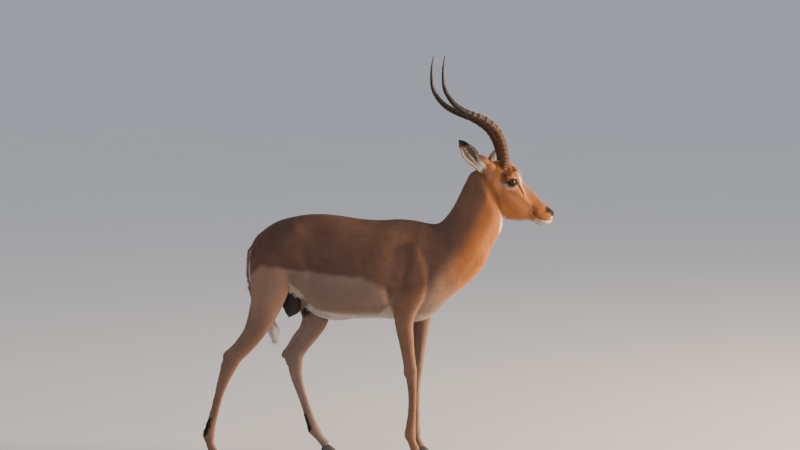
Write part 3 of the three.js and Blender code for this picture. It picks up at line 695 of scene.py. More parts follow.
# ---------------------------------------------------------------- the turn of the neck
TURN, TILT = np.radians(8), np.radians(2.5)
PIVOT = np.array([300.0, 0.0, 960.0])


def settled(p):
    """Leans each point of neck and head to the left by TILT about a level line and turns it by TURN about an
    upright one, a little at the chest and fully at the throat, then gives metres in the row frame."""
    p = np.asarray(p, float)
    share = smooth(60, 270, (p[..., 0] - 220) * 0.57 + (p[..., 2] - 700) * 0.82)
    x, y, z = np.moveaxis(p - PIVOT, -1, 0)
    c, s = np.cos(TILT * share), np.sin(TILT * share)
    y, z = y * c + z * s, z * c - y * s
    c, s = np.cos(TURN * share), np.sin(TURN * share)
    x, y = x * c - y * s, x * s + y * c
    return (np.stack([x, y, z], -1) + PIVOT - ORIGIN) / 1000.0


set_points(skin.data, settled(points))
skin.data.polygons.foreach_set("use_smooth", np.ones(len(skin.data.polygons), bool))

# ---------------------------------------------------------------- lie of the coat
# The hair lies from the nose to the tail, a little downwards on the flanks, and down each leg. It is worked
# out at each point of the skin from the nearest form's line and evened out between neighbours.
SLOPE_DOWN = 0.32  # share of downwards in the lie on the flanks
PART_OF = ["torso", "head", *LEGS, "tail", "scrotum"]
TORSO_PART, HEAD_PART, TAIL_PART, SCROTUM_PART = 0, 1, 6, 7  # the legs are those between head and tail


def on_form(p, form):
    """For each point the form's station whose plane holds it, or nearly. Gives the station, the height and
    width within the section in half sizes, and how far the point is from the form's surface."""
    normal = np.cross(form["up"], form["side"])
    best, station = np.full(len(p), np.inf), np.zeros(len(p), int)
    for i in range(len(normal)):
        away = p - form["centre"][i]
        cost = (away @ normal[i]) ** 2 + 0.02 * np.einsum("ij,ij->i", away, away)
        closer = cost < best
        best[closer], station[closer] = cost[closer], i
    away = p - form["centre"][station]
    deep, wide = form["deep"][station], form["wide"][station]
    high = np.einsum("ij,ij->i", away, form["up"][station]) / deep
    out = np.einsum("ij,ij->i", away, form["side"][station]) / wide
    beyond = np.abs(np.einsum("ij,ij->i", away, normal[station]))
    return station, high, out, np.abs(np.hypot(high, out) - 1) * np.minimum(deep, wide) + 0.5 * beyond


def nearest_part(p):
    """The number in PART_OF of the form nearest to each point, and the way along that form there."""
    found = [on_form(p, FORMS[name]) for name in PART_OF]
    part = np.argmin([f[3] for f in found], axis=0)
    along = np.zeros_like(p)
    for i, name in enumerate(PART_OF):
        way = unit(np.gradient(FORMS[name]["centre"], axis=0))
        along[part == i] = way[found[i][0][part == i]]
    return part, along


def on_ear(ear, p):
    """Share of the ear's length (0 at the base) at each point, its place from edge to edge of the cup (-1 to
    1), and whether the point lies on the ear."""
    away = p - ear["base"]
    share = away @ ear["out"] / EAR_LENGTH
    _, half, depth = between(EAR_ROWS, np.array(EAR_ROWS)[:, 0], share).T
    across, high = away @ ear["across"], away @ ear["open"]
    bend = np.arcsin(np.clip(across / half, -1, 1)) / EAR_ARC
    near = (np.abs(across) < half * 1.15 + 2) & (high > -depth - 2) & (high < 7)
    return share, bend, near & (share > 0.15) & (share < 1.03)


def of_leg(part):
    """Whether each part number is a leg's."""
    return (part > HEAD_PART) & (part < TAIL_PART)


part, lie = nearest_part(points)
on_trunk, on_head = part == TORSO_PART, part == HEAD_PART
n = normals_of(skin.data)
lie[on_trunk | on_head] *= -1
lie[on_trunk, 2] -= SLOPE_DOWN * np.abs(n[on_trunk, 1])
on_an_ear = np.zeros(len(points), bool)
for ear in EARS.values():
    _, _, near = on_ear(ear, points)
    lie[near] = ear["out"]
    on_an_ear |= near
ends = np.concatenate([pairs, pairs[:, ::-1]])
for _ in range(24):
    lie = lie + np.stack([np.bincount(ends[:, 0], lie[ends[:, 1], c], len(lie)) for c in range(3)], 1) / 4
    lie = unit(lie - np.einsum("ij,ij->i", lie, n)[:, None] * n)
skin_lie = unit(settled(points + lie) - settled(points))

# ---------------------------------------------------------------- markings
# Rufous saddle, tan flanks and legs, white below, and the face's and legs' dark and white marks, as shares
# that the materials turn into colour. All are lines and edges in the side view, the same on both sides.
SADDLE_EDGE = [  # x, z of the saddle's lower edge, and the half width of its fading
    (-520, 640, 12), (-450, 690, 12), (-423, 714, 10), (-358, 703, 9), (-285, 692, 9), (-212, 684, 9),
    (-139, 677, 9), (-66, 670, 12), (-25, 656, 18), (10, 628, 28), (60, 585, 40), (120, 572, 44),
    (190, 640, 50), (250, 712, 52), (300, 775, 52), (345, 850, 50), (385, 935, 45), (410, 1040, 40),
    (440, 1110, 30),
]  # fmt: skip
WHITE_EDGE = [  # x, z of the white belly's upper edge
    (-330, 655), (-290, 622), (-268, 596), (-250, 566), (-225, 545), (-195, 534), (-139, 529), (-84, 527),
    (-29, 524), (5, 526), (26, 548), (44, 562), (58, 534), (78, 500), (260, 496),
]  # fmt: skip
NOSE_SIDE = [(621, 905), (631, 899), (640, 888)]
SIDE_MARKS = {  # points x, z, radius, fading, share
    "brown": [
        # forehead and bridge
        ([(497, 1070), (519, 1043), (545, 1003), (580, 965), (612, 930)], 12, 14, 0.55),
        ([(534, 996), (566, 962), (604, 926)], 5, 9, 0.5),
        ([(448, 990), (436, 950), (438, 915)], 6, 16, 0.25),  # painted shade behind the jaw
        ([(448, 946), (475, 928), (498, 904)], 10, 18, 0.22),  # cheek
    ],
    "white": [
        ([(501, 1040), (509, 1033), (515, 1022)], 2.0, 3.6, 0.85),  # brow crescent
        ([(515, 1022), (519, 1008), (520, 994)], 1.4, 2.6, 0.9),
        ([(521, 992), (528, 978), (536, 964)], 0.6, 2.2, 0.8),  # streak before the tear line
        ([(458, 998), (464, 985), (478, 979), (492, 979), (503, 987)], 2.0, 6, 0.3),  # ring below the eye
        ([(446, 1002), (440, 992)], 4, 10, 0.15),
        ([(414, 1048), (406, 1030)], 6, 16, 0.08),  # before the ear
        ([(598, 856), (618, 853), (632, 857), (641, 866)], 5, 6, 1.0),  # lips
        ([(638, 874), (645, 880)], 3, 5, 0.9),
        ([(578, 863), (598, 856)], 4, 8, 0.6),
        ([(482, 958), (520, 925), (556, 897)], 4, 15, 0.05),  # painted highlight along the cheekbone
    ],
    "dark": [
        ([(458, 1034), (466, 1041), (476, 1039)], 8, 10, 0.62),  # above and behind the eye
        ([(453, 1026), (455, 1010)], 7, 12, 0.6),
        ([(380, 1040), (378, 1010)], 7, 14, 0.6),  # below the ear
        ([(461, 1003), (466, 1004)], 1.5, 2.5, 0.8),  # the eye's rear corner
        ([(506, 1000), (514, 990)], 1.8, 2.6, 0.85),
        ([(514, 990), (521, 976), (529, 963)], 1.8, 3.0, 0.75),  # tear line
        ([(567, 918), (573, 906), (571, 893)], 4, 13, 0.5),  # painted shade before the corner of the mouth
        (NOSE_SIDE, 8.0, 2.5, 1.0),  # the nostril's rim and the side of the nose pad
    ],
}
HEEL_TUFTS = {  # dark tufts behind the hind fetlocks
    "hindleg_right": ([(-612, 142), (-628, 118), (-634, 98)], 9),
    "hindleg_left": ([(-274, 142), (-268, 120), (-256, 100)], 9),
}
HAUNCH_STRIPE_Y = 46.0
EYE_RIM = 1.14  # where the bare rim of the lids ends, as `almond` counts


def wander(p, size, seed):
    """A soft unevenness from -1 to 1: the mean of six waves of about `size` in set directions."""
    ways = np.random.default_rng(seed)
    total = 0.0
    for _ in range(6):
        way = unit(ways.normal(size=3)) * 2 * np.pi / (size * ways.uniform(0.7, 1.6))
        total = total + np.sin(p @ way + ways.uniform(0, 6.28) + 1.3 * np.sin(p @ way[[1, 2, 0]]))
    return total / 4


def cover(old, new):
    """Share left uncovered falls by each mark's own share."""
    return 1 - (1 - old) * (1 - new)


def markings(p, n, part):
    """Shares of saddle brown, white, dark and warm tan at points, from their unturned places, the ways they
    face and the numbers of their parts."""
    trunk, leg = part <= HEAD_PART, of_leg(part)
    flat, side = p[:, [0, 2]], np.abs(p[:, 1])
    x, z = flat.T
    head = smooth(-28, 30, (x - 412) * 0.86 + (z - 960) * 0.5) * trunk
    outwards = n[:, 1] * np.sign(p[:, 1])
    edge = np.array(SADDLE_EDGE, float)
    above_edge = z + 4 * wander(p, 70, 1) - np.interp(x, edge[:, 0], edge[:, 1])
    fading = np.interp(x, edge[:, 0], edge[:, 2])
    brown = smooth(-fading, fading, above_edge) * (1 - 0.25 * smooth(200, 330, x))
    brown = brown * (1 - head)
    brown = np.where(leg, brown * smooth(560, 640, z), brown)
    brown = cover(brown, 0.55 * leg * smooth(380, 600, z) * (x > 0))  # upper arm
    # The lower legs and the legs' inner sides are browner: painted shade.
    brown = cover(brown, 0.45 * leg * smooth(640, 400, z))
    brown = cover(brown, 0.35 * leg * smooth(0.2, -0.4, outwards))
    warm = smooth(150, 330, x + 0.2 * (z - 800)) * (1 - 0.5 * brown)
    warm = np.where(leg, np.where(x > 0, 0.35, 0.15), np.maximum(warm, head))

    edge = np.array(WHITE_EDGE, float)
    below_edge = np.interp(x, edge[:, 0], edge[:, 1]) - z + 2 * wander(p, 40, 2)
    # The belly is white, but its share is held below half here and where the trunk faces down: painted shade
    # on the underside.
    white = smooth(-6, 7, below_edge) * trunk * (x < 90) * 0.46
    white = cover(white, trunk * smooth(0.35, 0.8, -n[:, 2]) * smooth(545, 520, z) * (x > -300) * 0.42)
    # The legs' inner sides are white high up but only a little white low down: painted shade on the lower
    # legs.
    white = cover(white, leg * smooth(0.15, -0.5, outwards) * (0.1 + 0.7 * smooth(530, 600, z)))
    haunch = smooth(0.3, 0.6, -n[:, 0]) * (x < -380)
    white = cover(white, 0.92 * haunch * smooth(44, 32, side) * smooth(560, 640, z) * smooth(780, 730, z))
    throat = path_distance(p * (1, 0.6, 1), [(454, 0, 874), (450, 0, 840)])
    white = cover(white, smooth(22, 6, throat) * trunk * 0.85)
    white = cover(white, head * smooth(0.5, 0.85, -n[:, 2]) * smooth(880, 862, z) * 0.5)
    dark = np.zeros(len(p))
    for marks, shares in (("white", white), ("brown", brown), ("dark", dark)):
        for path, radius, fade, share in SIDE_MARKS[marks]:
            uneven = radius + 0.15 * fade * wander(p, 9, 3)
            facing = smooth(0.1, 0.35, outwards) if radius < 12 or share < 0.6 else 1.0
            marked = smooth(uneven + fade, uneven, path_distance(flat, path))
            shares[:] = cover(shares, share * marked * head * facing)
    tail, low = part == TAIL_PART, smooth(500, 470, z)
    if tail.any():
        _, high, out, _ = on_form(p[tail], FORMS["tail"])
        stripe = smooth(-0.25, -0.7, high) * smooth(0.75, 0.45, np.abs(out))
        dark[tail] = stripe * (1 - low[tail])
        white[tail] = np.maximum(smooth(0.2, 0.7, high), low[tail])
        brown[tail] = 0.5 * (1 - white[tail])
    dark = np.maximum(dark, np.where(part == SCROTUM_PART, 0.93, 0))
    white = np.where(part == SCROTUM_PART, 0.1 + 0.1 * wander(p, 20, 4), white)
    stripe = smooth(8, 3, np.abs(side - HAUNCH_STRIPE_Y - 3 * wander(p, 60, 5)))
    stripe = stripe * haunch * smooth(600, 640, z) * smooth(780, 740, z) * (part < SCROTUM_PART)
    dark = cover(dark, 0.9 * stripe)
    for i, name in enumerate(PART_OF):
        if name in HEEL_TUFTS:
            path, radius = HEEL_TUFTS[name]
            near = smooth(radius + 5, radius, path_distance(flat, path))
            dark = cover(dark, near * (part == i) * smooth(0.2, 0.5, -n[:, 0]))
    dark = cover(dark, smooth(16, 6, path_distance(p, [(-262, 0, 534)])))  # prepuce
    dark = cover(dark, leg * smooth(34, 24, z) * 0.8)  # above the hooves
    sided = np.stack([x, side, z], 1)
    dark = cover(dark, head * 0.6 * smooth(2.6, 0.8, path_distance(flat, MOUTH)) * smooth(0.1, 0.3, outwards))
    nose_pad = path_distance(p * (1, 0.75, 1), [(641, 0, 897), (645, 0, 884), (643, 0, 876)])
    dark = cover(dark, smooth(13.0, 11.0, nose_pad))
    dark = cover(dark, smooth(9.5, 7.5, path_distance(sided, NOSTRIL)))
    way = unit(sided - EYE_MIDDLE)
    rim = almond(way @ EYE_LONG * EYE_RADIUS, way @ EYE_HIGH * EYE_RADIUS)
    near_eye = (way @ EYE_LOOK > 0.3) & (np.linalg.norm(sided - EYE_MIDDLE, axis=1) < 32)
    dark = cover(dark, near_eye * smooth(EYE_RIM + 0.12, EYE_RIM - 0.06, rim))
    shares = np.stack([brown, white, dark, warm], 1)
    for ear in EARS.values():
        share, bend, near = on_ear(ear, p)
        within = (n @ ear["open"] > 0.1)[near]
        blend = smooth(0.15, 0.25, share[near])[:, None]
        shares[near] += (ear_markings(share[near], bend[near], within) - shares[near]) * blend
    return np.clip(shares, 0, 1)


def ear_markings(share, bend, within):
    """The same shares on an ear: a black tip, a warm back with a dark edge, and within it dark grey, deepened
    by painted shade in the cup, with lines of white hair along it, white at the foot, and near-black at the
    edges."""
    tip = smooth(0.76, 0.82, share + 0.04 * bend)
    outer = np.max([np.exp(-(((bend - at) / 0.08) ** 2)) for at in (-0.62, 0.62)], axis=0)
    middle = 0.5 * np.exp(-(((bend + 0.1) / 0.09) ** 2))
    lines = 0.55 * np.maximum(outer * smooth(0.84, 0.7, share), middle * smooth(0.66, 0.5, share))
    foot = 0.9 * smooth(0.38, 0.24, share - 0.1 * bend) * smooth(0.14, 0.24, share) * smooth(0.9, 0.6, -bend)
    past_foot = smooth(0.22, 0.42, share)
    white = np.where(within, np.max([lines, foot, 0.25 * past_foot], axis=0), 0.05)
    rim = smooth(0.86, 0.97, np.abs(bend)) * smooth(0.2, 0.35, share)
    # Within the cup the hair's own grey is deepened by painted shade; the rim is near-black.
    grey_and_shade = np.maximum(0.82 * past_foot * (1 - np.maximum(lines, foot)), 0.88 * rim)
    dark = np.maximum(np.where(within, grey_and_shade, 0.5 * rim), tip)
    warm = np.where(within, 0.1, 1.0)
    return np.stack([np.where(within, 0.0, 0.2), white, dark, warm], 1)


def add_colours(mesh, name, values):
    """Puts four values a point on a mesh, for the materials to read."""
    attribute = mesh.color_attributes.new(name, "FLOAT_COLOR", "POINT")
    attribute.data.foreach_set("color", np.ascontiguousarray(values, dtype=np.float32).ravel())


skin_marks = markings(points, n, part)
add_colours(skin.data, "markings", skin_marks)

# ---------------------------------------------------------------- colour of the coat
# One recipe for skin and hair: tan, covered by warm tan, saddle brown, white and near-black by the shares,
# with soft patches of lighter and darker hair over it.
TAN = (0.29, 0.19, 0.142)
WARM_TAN = (0.45, 0.168, 0.052)
SADDLE_BROWN = (0.15, 0.078, 0.054)
WHITE_HAIR = (0.76, 0.68, 0.6)
NEAR_BLACK = (0.014, 0.012, 0.013)


def set_socket(tree, socket, value):
    """Links a socket from another or gives it a value. A colour of three numbers is made opaque."""
    if isinstance(value, bpy.types.NodeSocket):
        tree.links.new(value, socket)
    else:
        socket.default_value = (*value, 1) if socket.type == "RGBA" and len(value) == 3 else value


def node(tree, kind, inputs=None, **settings):
    """A shader node with its settings, and its inputs as values or as sockets to link from."""
    made = tree.nodes.new(kind)
    for key, value in settings.items():
        setattr(made, key, value)
    for key, value in (inputs or {}).items():
        set_socket(tree, made.inputs[key], value)
    return made


def mixed(tree, share, first, second):
    """A colour mix: first where share is 0, second where it is 1."""
    made = node(tree, "ShaderNodeMix", data_type="RGBA")
    for index, value in ((0, share), (6, first), (7, second)):
        set_socket(tree, made.inputs[index], value)
    return made.outputs[2]


def noise(tree, place, scale, detail, roughness=0.5):
    """Cloudy noise from 0 to 1 with `scale` lumps to a metre."""
    inputs = {"Vector": place, "Scale": scale, "Detail": detail, "Roughness": roughness}
    return node(tree, "ShaderNodeTexNoise", inputs).outputs[0]


def ranged(tree, value, low, high, to_low=0.0, to_high=1.0, **settings):
    """A value between low and high, moved to lie as far between to_low and to_high, and held within them."""
    inputs = {"Value": value, 1: low, 2: high, 3: to_low, 4: to_high}
    return node(tree, "ShaderNodeMapRange", inputs, **settings).outputs[0]


def product(tree, first, second):
    """One value times the other."""
    return node(tree, "ShaderNodeMath", {0: first, 1: second}, operation="MULTIPLY").outputs[0]


def add_bump(tree, shader, height, strength, distance):
    """Fine relief that a height from 0 to 1 gives a shader, `distance` metres deep at full strength."""
    bump = node(tree, "ShaderNodeBump", {"Height": height, "Strength": strength, "Distance": distance})
    tree.links.new(bump.outputs[0], shader.inputs["Normal"])


coat_colours = bpy.data.node_groups.new("coat colours", "ShaderNodeTree")
for name, kind in (("Shares", "NodeSocketColor"), ("Warm", "NodeSocketFloat"), ("Strand", "NodeSocketFloat")):
    coat_colours.interface.new_socket(name, in_out="INPUT", socket_type=kind)
coat_colours.interface.new_socket("Colour", in_out="OUTPUT", socket_type="NodeSocketColor")
given = coat_colours.nodes.new("NodeGroupInput").outputs
place = node(coat_colours, "ShaderNodeTexCoord").outputs["Object"]
shares = node(coat_colours, "ShaderNodeSeparateColor", {"Color": given["Shares"]}).outputs
colour = mixed(coat_colours, given["Warm"], TAN, WARM_TAN)
colour = mixed(coat_colours, shares[0], colour, SADDLE_BROWN)
colour = mixed(coat_colours, shares[1], colour, WHITE_HAIR)
uneven = ranged(coat_colours, noise(coat_colours, place, 11.0, 5.0, 0.6), 0.3, 0.7, 0.86, 1.14)
fleck = ranged(coat_colours, noise(coat_colours, place, 320.0, 2.0), 0.25, 0.75, 0.9, 1.1)
strand = ranged(coat_colours, given["Strand"], 0.0, 1.0, 0.8, 1.22)
level = product(coat_colours, product(coat_colours, uneven, fleck), strand)
colour = node(coat_colours, "ShaderNodeVectorMath", {0: colour, "Scale": level}, operation="SCALE").outputs[0]
colour = mixed(coat_colours, shares[2], colour, NEAR_BLACK)
coat_colours.links.new(colour, coat_colours.nodes.new("NodeGroupOutput").inputs["Colour"])


def new_material(name, **sockets):
    """A material of one Principled shader, with its constant values set on its own sockets."""
    made = bpy.data.materials.new(name)
    made.use_nodes = True
    shader = made.node_tree.nodes["Principled BSDF"]
    for key, value in sockets.items():
        set_socket(made.node_tree, shader.inputs[key.replace("_", " ")], value)
    return made, made.node_tree, shader


def coloured_as_coat(name, strand_name, **sockets):
    """A material whose colour is the coat's recipe on the mesh's own marks."""
    made, tree, shader = new_material(name, **sockets)
    marks = node(tree, "ShaderNodeAttribute", attribute_name="markings")
    strand = node(tree, "ShaderNodeAttribute", attribute_name=strand_name)
    recipe = node(tree, "ShaderNodeGroup", node_tree=coat_colours)
    tree.links.new(marks.outputs["Color"], recipe.inputs["Shares"])
    tree.links.new(marks.outputs["Alpha"], recipe.inputs["Warm"])
    tree.links.new(strand.outputs["Fac"], recipe.inputs["Strand"])
    tree.links.new(recipe.outputs["Colour"], shader.inputs["Base Color"])
    return made, tree, shader


# ---------------------------------------------------------------- skin
# Hide under the coat, bare at the nose, lips, lids and scrotum, where it is dark, finely creased and a
# little greasy. Elsewhere it carries the coat's colours and a fine nap.
add_colours(skin.data, "strand", np.repeat([[0.5, 0.5, 0.5, 1.0]], len(points), axis=0))
skin_finish, tree, shader = coloured_as_coat("skin", "strand", Roughness=0.7, Specular_IOR_Level=0.12)
place = node(tree, "ShaderNodeTexCoord").outputs["Object"]
nap = noise(tree, place, 700.0, 3.0, 0.6)
creases = node(tree, "ShaderNodeTexVoronoi", {"Vector": place, "Scale": 640.0}, feature="DISTANCE_TO_EDGE")
marks = node(tree, "ShaderNodeAttribute", attribute_name="markings")
bare = node(tree, "ShaderNodeSeparateColor", {"Color": marks.outputs["Color"]}).outputs[2]
grain = ranged(tree, creases.outputs[0], 0.0, 0.16, interpolation_type="SMOOTHSTEP")
relief = node(tree, "ShaderNodeMix", {0: bare, 2: nap, 3: grain}, data_type="FLOAT").outputs[0]
add_bump(tree, shader, relief, 0.22, 0.0007)
tree.links.new(ranged(tree, bare, 0.5, 1.0, 0.72, 0.5), shader.inputs["Roughness"])
skin.data.materials.clear()
skin.data.materials.append(skin_finish)
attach(skin, "root")
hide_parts("trunk", "neck", "head", "ear_left", "ear_right", "tail", "scrotum", *LEGS)

# ---------------------------------------------------------------- eyes
# Large dark balls with a brown iris round a level bar of a pupil, wet all over. Each bulges a little where
# the clear front stands over the iris.
IRIS_REACH = np.radians(38)  # angle from the way the eye looks to the iris's edge
PUPIL_HALF = (0.62, 0.3)  # half length and height, as shares of the iris
CORNEA_RISE = 1.1


def eye_ball(rings=48, around=72):
    """The left eye's ball about its own middle: a globe whose radius rises by a smooth step within the
    iris. Its colours hold the distance from the iris's middle, where 1 is its edge, and from the pupil's."""
    polar, angle = globe_grid(0.02, rings, around)
    radius = EYE_RADIUS - 0.8 + CORNEA_RISE * smooth(IRIS_REACH * 1.15, IRIS_REACH * 0.2, polar)
    way = (
        np.cos(polar)[..., None] * EYE_LOOK
        + (np.sin(polar) * np.cos(angle))[..., None] * ahead
        + (np.sin(polar) * np.sin(angle))[..., None] * above
    )
    across, high = polar / IRIS_REACH * np.cos(angle), polar / IRIS_REACH * np.sin(angle)
    pupil = np.hypot(across / PUPIL_HALF[0], high / PUPIL_HALF[1])
    shown = np.stack([polar / IRIS_REACH, pupil, angle / (2 * np.pi), np.ones_like(polar)], -1)
    return way * radius[..., None], shown


def add_grid(name, rings, finish, replaced):
    """A tube of rings of settled points as a piece that rides on the body."""
    points, faces = closed_tube(rings)
    piece = mesh_from(name, points, faces)
    piece.data.polygons.foreach_set("use_smooth", np.ones(len(faces), bool))
    piece.data.materials.append(finish)
    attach(piece, "root")
    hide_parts(*replaced)
    return piece


def outward_rings(rings):
    """The rings, run the other way round where their tube would face inwards."""
    middle = rings.mean((0, 1))
    side = np.cross(np.roll(rings, -1, 1) - rings, np.roll(rings, -1, 0) - rings)[:-1]
    return rings if np.einsum("ijk,ijk->", side, rings[:-1] - middle) > 0 else rings[:, ::-1]


eye_finish, tree, shader = new_material(
    "eye", Roughness=0.16, Coat_Weight=0.4, Coat_Roughness=0.04, Specular_IOR_Level=0.15
)
shown = node(tree, "ShaderNodeAttribute", attribute_name="iris").outputs["Color"]
shown = node(tree, "ShaderNodeSeparateColor", {"Color": shown}).outputs
threads = node(tree, "ShaderNodeCombineXYZ", {0: shown[0], 2: shown[2]}).outputs[0]
threads = node(tree, "ShaderNodeMapping", {"Vector": threads, "Scale": (1.5, 1.0, 70.0)}).outputs[0]
iris = mixed(tree, noise(tree, threads, 1.0, 3.0), (0.004, 0.002, 0.0015), (0.02, 0.008, 0.004))
colour = mixed(tree, ranged(tree, shown[0], 0.9, 1.06), iris, (0.006, 0.004, 0.004))
colour = mixed(tree, ranged(tree, shown[1], 0.9, 1.1, 1.0, 0.0), colour, (0.002, 0.002, 0.003))
tree.links.new(colour, shader.inputs["Base Color"])

rim_finish, tree, shader = new_material("eyelid rim", Roughness=0.38, Specular_IOR_Level=0.5)
creases = noise(tree, node(tree, "ShaderNodeTexCoord").outputs["Object"], 900.0, 3.0)
colour = mixed(tree, creases, (0.008, 0.006, 0.006), (0.045, 0.034, 0.03))
tree.links.new(colour, shader.inputs["Base Color"])
add_bump(tree, shader, creases, 0.4, 0.0006)

RIM_THICK = 1.0


def rim_line(steps, grow=1.0):
    """Points round the edge of the left eye's opening, on a globe just outside the ball: at each angle the
    reach where `almond` gives `grow`."""
    angle = 2 * np.pi * np.arange(steps) / steps
    reach = np.full(steps, 10.0)
    for _ in range(12):
        reach = reach * grow / almond(np.cos(angle) * reach, np.sin(angle) * reach)
    flat = (np.cos(angle) * reach)[:, None] * EYE_LONG + (np.sin(angle) * reach)[:, None] * EYE_HIGH
    return unit(flat + EYE_LOOK * np.sqrt(np.maximum(EYE_RADIUS**2 - reach**2, 1))[:, None])


for eye_side, sign in (("left", 1), ("right", -1)):
    flip = np.array([1, sign, 1])
    rings, shown = eye_ball()
    rings = settled((rings + EYE_MIDDLE) * flip)
    if sign < 0:
        rings, shown = rings[:, ::-1], shown[:, ::-1]
    if outward_rings(rings) is not rings:
        rings, shown = rings[:, ::-1], shown[:, ::-1]
    piece = add_grid(f"eyeball_{eye_side}", rings, eye_finish, (f"eye_{eye_side}",))
    flat_shown = np.vstack([shown.reshape(-1, 4), shown[0].mean(0), shown[-1].mean(0)])
    add_colours(piece.data, "iris", flat_shown)

    middle = rim_line(96)
    along = unit(np.roll(middle, -1, 0) - np.roll(middle, 1, 0))
    across = np.cross(along, middle)
    turn = 2 * np.pi * np.arange(10) / 10
    ring = np.cos(turn)[None, :, None] * middle[:, None] + np.sin(turn)[None, :, None] * across[:, None]
    ring = EYE_MIDDLE + middle[:, None] * (EYE_RADIUS + 0.5) + ring * RIM_THICK
    ring = settled(ring * flip)
    faces = grid_faces(97, 10) % (96 * 10)
    points_flat = ring.reshape(-1, 3)
    if sign > 0:
        faces = faces[:, ::-1]
    piece = mesh_from(f"eyelid_rim_{eye_side}", points_flat, faces)
    piece.data.polygons.foreach_set("use_smooth", np.ones(len(faces), bool))
    piece.data.materials.append(rim_finish)
    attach(piece, "root")

# ---------------------------------------------------------------- horns
# Ringed keratin on a bony core: raised rings crowd together at the base, stand widest apart half way up,
# fade out and leave the last third smooth. They are strongest in front and paler on their crests, and the
# grooves between them are darkened with painted shade.
HORN = [  # x, y, z, half depth, half width
    (453, 29, 1050, 17, 15), (458, 32, 1082, 17.2, 15.2), (452, 46, 1126, 16.5, 14.8),
    (440, 61, 1163, 15.8, 14.4), (421, 78, 1195, 15, 14), (392, 98, 1221, 14.2, 13.4),
    (358, 115, 1241, 13.2, 12.6), (323, 128, 1254, 12, 11.5), (289, 137, 1270, 10.8, 10.4),
    (260, 143, 1291, 9.5, 9.2), (239, 146, 1316, 8.3, 8.1), (223, 146, 1347, 7, 6.8),
    (218, 144, 1382, 5.5, 5.3), (218, 142, 1420, 4, 3.9), (225, 140, 1468, 1.2, 1.2),
]  # fmt: skip
# How far along the horn the grooves between the rings lie.
GROOVES = [0, 7, 17, 28, 40, 55, 73, 92, 112, 132, 156, 181, 207, 237, 268, 293, 315, 337, 360]
RINGED = 345.0  # length of the horn that carries rings
RING_RISE = 5.0
HORN_FRONT = (0.8, 0, 0.6)


def horn_rings(sign, steps=360, around=36):
    """Rings along a horn, and at each point how high it stands on its ring. A ring's rise is a sharp crest
    with a long slope below it, tilted so that it sits further down at the back."""
    rows = np.array([(x, sign * y, z, deep, wide) for x, y, z, deep, wide in HORN], float)
    knots = np.append(0, np.cumsum(np.linalg.norm(np.diff(rows[:, :3], axis=0), axis=1)))
    share = np.linspace(0, 1, steps)
    x, y, z, deep, wide = between(rows, knots, share * knots[-1]).T
    centre = np.stack([x, y, z], 1)
    way = unit(np.gradient(centre, axis=0))
    front = unit(np.array(HORN_FRONT) - (way @ HORN_FRONT)[:, None] * way)
    side = np.cross(way, front)
    angle = 2 * np.pi * np.arange(around) / around
    ahead_share = (1 + np.cos(angle)[None]) / 2
    tilted = share[:, None] * knots[-1] - 6.0 * (1 - ahead_share) + 1.2 * np.sin(3 * angle + sign)[None]
    count = np.interp(tilted, GROOVES, range(len(GROOVES)))
    phase = count - np.floor(count)
    crest = np.where(phase < 0.66, (phase / 0.66) ** 2.6, ((1 - phase) / 0.34) ** 1.6)
    strength = smooth(0.0, 14.0, tilted) * (1 - smooth(RINGED * 0.72, RINGED, tilted))
    strength = strength * (0.5 + 0.5 * ahead_share) * (0.62 + 0.38 * smooth(50, 160, tilted))
    uneven = 0.8 + 0.2 * np.sin(np.floor(count) * 2.4 + sign)
    striae = 0.3 * np.sin(angle * 13 + 2.5 * np.sin(angle * 3))[None] * smooth(0.0, 0.3, 1 - share[:, None])
    rise = RING_RISE * (crest - 0.3) * strength * uneven + striae * (1 - 0.5 * crest)
    flared = 1 + 0.07 * smooth(0.05, 0.0, share)[:, None]
    radial = np.cos(angle)[None, :, None] * deep[:, None, None] * front[:, None] * flared[..., None]
    radial = radial + np.sin(angle)[None, :, None] * wide[:, None, None] * side[:, None] * flared[..., None]
    rings = centre[:, None] + radial + unit(radial) * rise[..., None]
    round_it = np.broadcast_to(1 - ahead_share, crest.shape)
    ring_shares = np.stack([crest * strength, np.broadcast_to(share[:, None], crest.shape), strength, round_it], -1)
    return rings, ring_shares


horn_finish, tree, shader = new_material("horn", Roughness=0.5, Specular_IOR_Level=0.25)
place = node(tree, "ShaderNodeTexCoord").outputs["Object"]
shown = node(tree, "ShaderNodeAttribute", attribute_name="ring_shares").outputs
ring_shares = node(tree, "ShaderNodeSeparateColor", {"Color": shown["Color"]}).outputs
lines = node(tree, "ShaderNodeCombineXYZ", {0: shown["Alpha"], 1: ring_shares[1]}).outputs[0]
lines = node(tree, "ShaderNodeMapping", {"Vector": lines, "Scale": (34.0, 16.0, 1.0)}).outputs[0]
lines = noise(tree, lines, 1.0, 4.0, 0.6)
fine = noise(tree, place, 260.0, 5.0, 0.7)
broad = noise(tree, place, 26.0, 4.0)
brown_base = mixed(tree, broad, (0.05, 0.016, 0.003), (0.17, 0.058, 0.011))
dark_horn = mixed(tree, broad, (0.007, 0.005, 0.004), (0.03, 0.018, 0.011))
colour = mixed(tree, ranged(tree, ring_shares[1], 0.2, 0.6), brown_base, dark_horn)
colour = mixed(tree, ranged(tree, lines, 0.38, 0.62, 0.55, 0.0), colour, (0.02, 0.010, 0.004))
